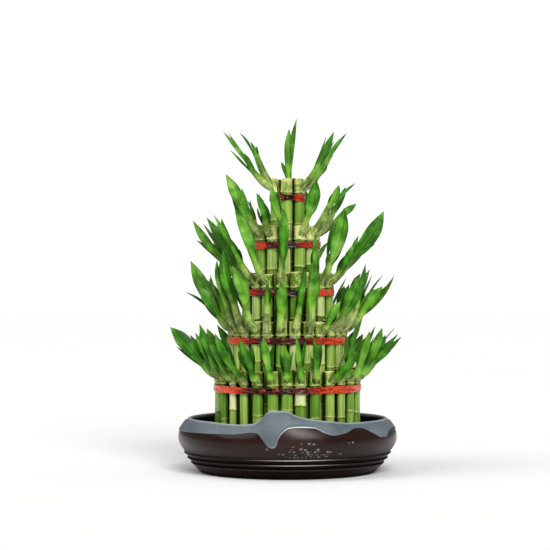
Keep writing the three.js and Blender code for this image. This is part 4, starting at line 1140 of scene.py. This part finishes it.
# Height of the rim, and of the glaze's lower edge, by azimuth
RIM_LINE = [
    (-180, RIM_Z), (-52, RIM_Z), (-30, 56.4), (-19.5, 57.8), (-16, 60.5), (-13.5, 65.1), (-11.3, 69.4),
    (-9, 71.2), (-2, 71.4), (1.5, 70), (3, 67.9), (7, 65.1), (15, 62.1), (25, 59.8), (38, RIM_Z),
    (180, RIM_Z),
]
DRIP_LINE = [
    (-180, 44), (-162, 47), (-148, 39), (-135, 46), (-112, 47), (-90, 44.5), (-62, 45.5), (-40, 46.4),
    (-28, 47), (-19, 49.2), (-16, 49), (-12.4, 42.8), (-10.5, 37.6), (-8.4, 34.2), (-6.8, 34.3),
    (-5.6, 36.9), (-4.9, 41.5), (-3.5, 47.4), (1, 54), (6, 54.7), (13.5, 54), (19.6, 48.6), (24, 46.3),
    (31, 48.1), (38.5, 52.3), (42.2, 52.1), (50.2, 46.3), (56, 41.6), (60.5, 41.2), (67.3, 46.7), (78, 49),
    (92, 45), (105, 49), (118, 43), (132, 36.5), (146, 45), (165, 48), (180, 44),
]
# The glaze's rounded lower edge: how far out as a share of its thickness, and the height above it
GLAZE_EDGE = ((0.0, 0.0), (0.5, 0.0), (0.92, 0.35), (1.05, 0.95), (1.02, 1.8), (0.92, 3.0))
# The rim's rounding: how far out from its middle line, and the depth below its top
RIM_LIP = ((0.9, 2.0), (0.5, 1.0), (-0.1, 0.35), (-0.9, 0.05), (-1.8, 0.05), (-2.6, 0.5))
COLUMNS = 768
BELLY_ROWS, GLAZE_ROWS, INNER_ROWS = 46, 15, 11
# Azimuth at which the glaze's edge catches the light
EDGE_GLINT = 5.0
# The tool marks: their steps round the belly and up it, their lowest and highest row, and the
# azimuth of the middle of a patch
DIMPLE_STEP, DIMPLE_RISE = 4.4, 2.8
DIMPLE_LOW, DIMPLE_HIGH = 24.5, 42.0
DIMPLE_PATCH = 11.0


def shoulder_radius(z, top):
    """Radius of the belly and shoulder at height z, where the rim stands at height top."""
    foot_r, foot_z = FOOT[-1]
    share = np.clip((z - foot_z) / (BELLY_Z - foot_z), 0, 1)
    low = foot_r + (BELLY_R - foot_r) * np.sin(share * math.pi / 2)
    s = np.clip((z - BELLY_Z) / (top - BELLY_Z), 0, 1)
    high = BELLY_R - (BELLY_R - RIM_R) * (1 - np.cos(s * math.pi / 2)) ** 1.15
    return np.where(z < BELLY_Z, low, high)


def dimples(azimuth, z):
    """Depth of the tool marks pressed into the belly, in three patches that thin out upward."""
    depth = np.zeros_like(z)
    rows = int((DIMPLE_HIGH - DIMPLE_LOW) / DIMPLE_RISE)
    per_row = int(2 * math.pi * BELLY_R / DIMPLE_STEP)
    for row in range(rows):
        for k in range(per_row):
            centre_a = -180 + 360 * (k + 0.5 * (row % 2) + spread(8, k, row, 0.22)) / per_row
            off_patch = (centre_a - DIMPLE_PATCH + 60) % 120 - 60
            if draw(7, k, row) > (0.9 - 0.09 * row) * bell(off_patch, 15):
                continue
            centre_z = DIMPLE_LOW + (row + spread(9, k, row, 0.2)) * DIMPLE_RISE
            lane = int((centre_a + 180) / 360 * COLUMNS) % COLUMNS
            lanes = np.arange(lane - 2, lane + 3) % COLUMNS
            off_a = (azimuth[0, lanes] - centre_a + 180) % 360 - 180
            across = np.radians(off_a)[None, :] * BELLY_R
            away = np.hypot(across / 1.9, z[:, lanes] - centre_z)
            size = 0.5 + 0.5 * draw(10, k, row)
            depth[:, lanes] = np.maximum(depth[:, lanes], size * bell(away, 0.7 * size))
    return depth


def bowl():
    """The bowl as one skin: turned foot, dimpled belly, raised glaze over shoulder and rim, dark inside."""
    azimuth = (-180 + 360 * np.arange(COLUMNS) / COLUMNS)[None, :]
    drip, top = along_line(DRIP_LINE, azimuth), along_line(RIM_LINE, azimuth)
    one = np.ones_like(azimuth)
    radii, heights, slots, pales, darks = [], [], [], [], []

    def row(radius, z, slot, pale=0.0, dark=0.0):
        slots.append(slot)
        for rows, value in ((radii, radius), (heights, z), (pales, pale), (darks, dark)):
            rows.append(value * one)

    # The turned foot, each ledge with a soft edge, a painted highlight on its lip and painted shade
    # in the groove at its inner corner
    for (r0, z0), (r1, z1) in zip(FOOT, FOOT[1:]):
        ledge = r1 < r0
        for share in (0.08, 0.5, 0.95) if ledge else (0.0, 0.12, 0.4, 0.7, 0.9, 1.0):
            hollow = 0 if ledge else 0.3 * math.sin(math.pi * share)
            lip_highlight = 1 - share if ledge else smooth(share, 0.9, 1.0)
            lip_highlight = lip_highlight * (0.03 + (0.9 * bell(azimuth - 6, 16) if z0 > 15 else 0.02))
            # Painted shade in the groove at the ledge's inner corner
            groove_shade = smooth(share, 0.5, 0.95) if ledge else 1 - smooth(share, 0.0, 0.4)
            radius, z = r0 + (r1 - r0) * share - hollow, z0 + (z1 - z0) * share
            row(radius, z, SHADED_FOOT_CLAY, pale=lip_highlight, dark=0.9 * groove_shade)
    # The belly up to the glaze, with a painted shadow just under the glaze's edge and painted shade low down
    for k in range(BELLY_ROWS):
        share = (k + 0.3) / BELLY_ROWS
        z = FOOT[-1][1] + (drip - FOOT[-1][1]) * share
        dark = 0.8 * smooth(share, 0.97, 0.99) + 0.6 * (1 - smooth(share, 0.0, 0.5))
        row(shoulder_radius(z, top), z, CLAY, dark=dark)
    belly = slice(len(radii) - BELLY_ROWS, len(radii))
    # The glaze's edge, with a painted highlight where the light catches it, and its skin up to the rim
    skin_top = top - RIM_ROUND
    room = np.minimum(1, (skin_top - drip) / 4)
    # Painted shade across the glaze's front, darkest a little left of the middle
    thick = 0.32 * bell(azimuth + 3, 26)
    glint = bell(azimuth - EDGE_GLINT, 11)
    for out, rise in GLAZE_EDGE:
        z = drip + rise * room
        edge = (1 - smooth(rise, 0.3, 1.1)) * (0.04 + 0.96 * glint)
        # A line of painted shade just above the glint
        dark = 0.6 * bell(rise - 2.8, 0.8) * glint + thick
        row(shoulder_radius(z, top) + GLAZE_THICK * out, z, GLAZE, pale=edge, dark=dark)
    for k in range(1, GLAZE_ROWS + 1):
        z = drip + 3 * room + (skin_top - drip - 3 * room) * k / GLAZE_ROWS
        row(shoulder_radius(z, top) + GLAZE_THICK * 0.9, z, GLAZE, dark=thick)
    # The rim, with a painted highlight along its top
    for out, depth in RIM_LIP + ((RIM_INNER - RIM_R, 1.4),):
        row(RIM_R + out, top - depth, GLAZE, pale=0.3 * bell(depth, 0.9))
    # The inside, which the glaze enters by a few millimetres
    inner_r, inner_z = INNER[0]
    for k in range(1, INNER_ROWS + 1):
        z = top - 1.4 + (inner_z - top + 1.4) * k / INNER_ROWS
        radius = RIM_INNER + (inner_r - RIM_INNER) * smooth(k / INNER_ROWS)
        row(radius, z, GLAZE if k < 3 else CLAY, dark=smooth(k, 2, 4))
    for (r0, z0), (r1, z1) in zip(INNER, INNER[1:]):
        for share in (0.5, 1.0):
            row(r0 + (r1 - r0) * share, z0 + (z1 - z0) * share, CLAY, dark=1.0)
    for r in (60.0, 4.0):
        row(r, FLOOR_Z, CLAY, dark=1.0)

    radius, z, pale, dark = (np.concatenate(rows) for rows in (radii, heights, pales, darks))
    marks = smooth(drip - z[belly], 2.0, 4.0) * dimples(azimuth, z[belly])
    radius[belly] -= 0.4 * marks
    # Painted glints: the tool marks are made pale
    pale[belly] += 0.95 * marks ** 1.5
    angle = np.radians(azimuth)
    points = np.stack([radius * np.sin(angle), -radius * np.cos(angle), z], axis=-1)
    shape = Shape()
    shape.tube(points, pale=pale, dark=dark)
    for k, (low, high) in enumerate(zip(slots, slots[1:])):
        shape.slots[k * COLUMNS : (k + 1) * COLUMNS] = [low if low == high else CLAY] * COLUMNS
    shape.piece("bowl_fine", "bowl", POTTERY, "ceramic", sharp=60)


# Water

WATER_COLUMNS = 180
# How water is drawn up at a wall: the distance from the wall and the depth below the highest line
MENISCUS = ((0.0, 0.0), (0.8, 0.35), (2.5, 0.6))


def wall_radius(z):
    """Radius of the water's outer side at height z, just inside the bowl's wall."""
    radii, heights = np.array(INNER[::-1], float).T
    return float(np.interp(z, heights, radii)) - WATER_GAP


def water(outer):
    """Still water between the bowl's wall and the outer ring of stalks, drawn up a little at both."""
    inner = max(math.hypot(st.foot[0], st.foot[1]) + st.radius for st in outer) + WATER_GAP
    profile = [(wall_radius(FLOOR_Z + 0.1), FLOOR_Z), (wall_radius(20), 20)]
    profile += [(wall_radius(WATER_Z) - off, WATER_Z - down) for off, down in MENISCUS]
    profile += [(inner + off, WATER_Z - down) for off, down in MENISCUS[::-1]] + [(inner, FLOOR_Z)]
    angle = around(WATER_COLUMNS)
    sides = np.stack([np.sin(angle), -np.cos(angle)], axis=-1)
    rows = [np.column_stack([r * sides, np.full(WATER_COLUMNS, z)]) for r, z in profile]
    shape = Shape()
    shape.tube(np.array(rows), round_trip=True)
    shape.piece("water_fine", "water", [WATER], "water", sharp=60)


# Floor and light

# Strength of the white room, for the light that it gives and as the camera sees it
ROOM_LIGHT, ROOM_SEEN = 0.25, 1.05
# Three broad soft lights: their angles, their strengths and where they come from. The key light is
# in front, above and a little to the right.
LIGHTS = [
    ("key", 32, 2.8, (0.2, -0.78, 0.53)),
    ("fill", 40, 0.85, (-0.75, -0.3, 0.85)),
    ("top", 60, 0.5, (0, 0, 1)),
]


def stage():
    """A pale floor, an even white room and the lights."""
    bpy.ops.mesh.primitive_circle_add(vertices=96, radius=12, fill_type="NGON", location=(0, 0, -0.0003))
    floor = bpy.context.object
    floor.name = "floor"
    look = Look("pale_floor", roughness=0.9)
    look.colour = look.mix(look.noise(3, 3, 3, detail=2), rgb(248, 248, 247), rgb(251, 251, 250))
    floor.data.materials.append(look.done())

    world = bpy.data.worlds.new("studio")
    bpy.context.scene.world = world
    world.use_nodes = True
    tree = world.node_tree
    background = tree.nodes["Background"]
    background.inputs["Color"].default_value = (1, 1, 1, 1)
    path = tree.nodes.new("ShaderNodeLightPath")
    strength = tree.nodes.new("ShaderNodeMapRange")
    strength.inputs["To Min"].default_value = ROOM_LIGHT
    strength.inputs["To Max"].default_value = ROOM_SEEN
    tree.links.new(path.outputs["Is Camera Ray"], strength.inputs["Value"])
    tree.links.new(strength.outputs["Result"], background.inputs["Strength"])
    for name, angle, energy, way in LIGHTS:
        data = bpy.data.lights.new(name, "SUN")
        data.angle, data.energy = rad(angle), energy
        light = bpy.data.objects.new(name, data)
        light.rotation_euler = Vector(way).to_track_quat("Z", "Y").to_euler()
        bpy.context.scene.collection.objects.link(light)
    bpy.context.scene.view_settings.view_transform = "Standard"


leafy_nodes()
centre_stalk()
bowl()
water(stalks_of(TIERS[0], 0))
stage()
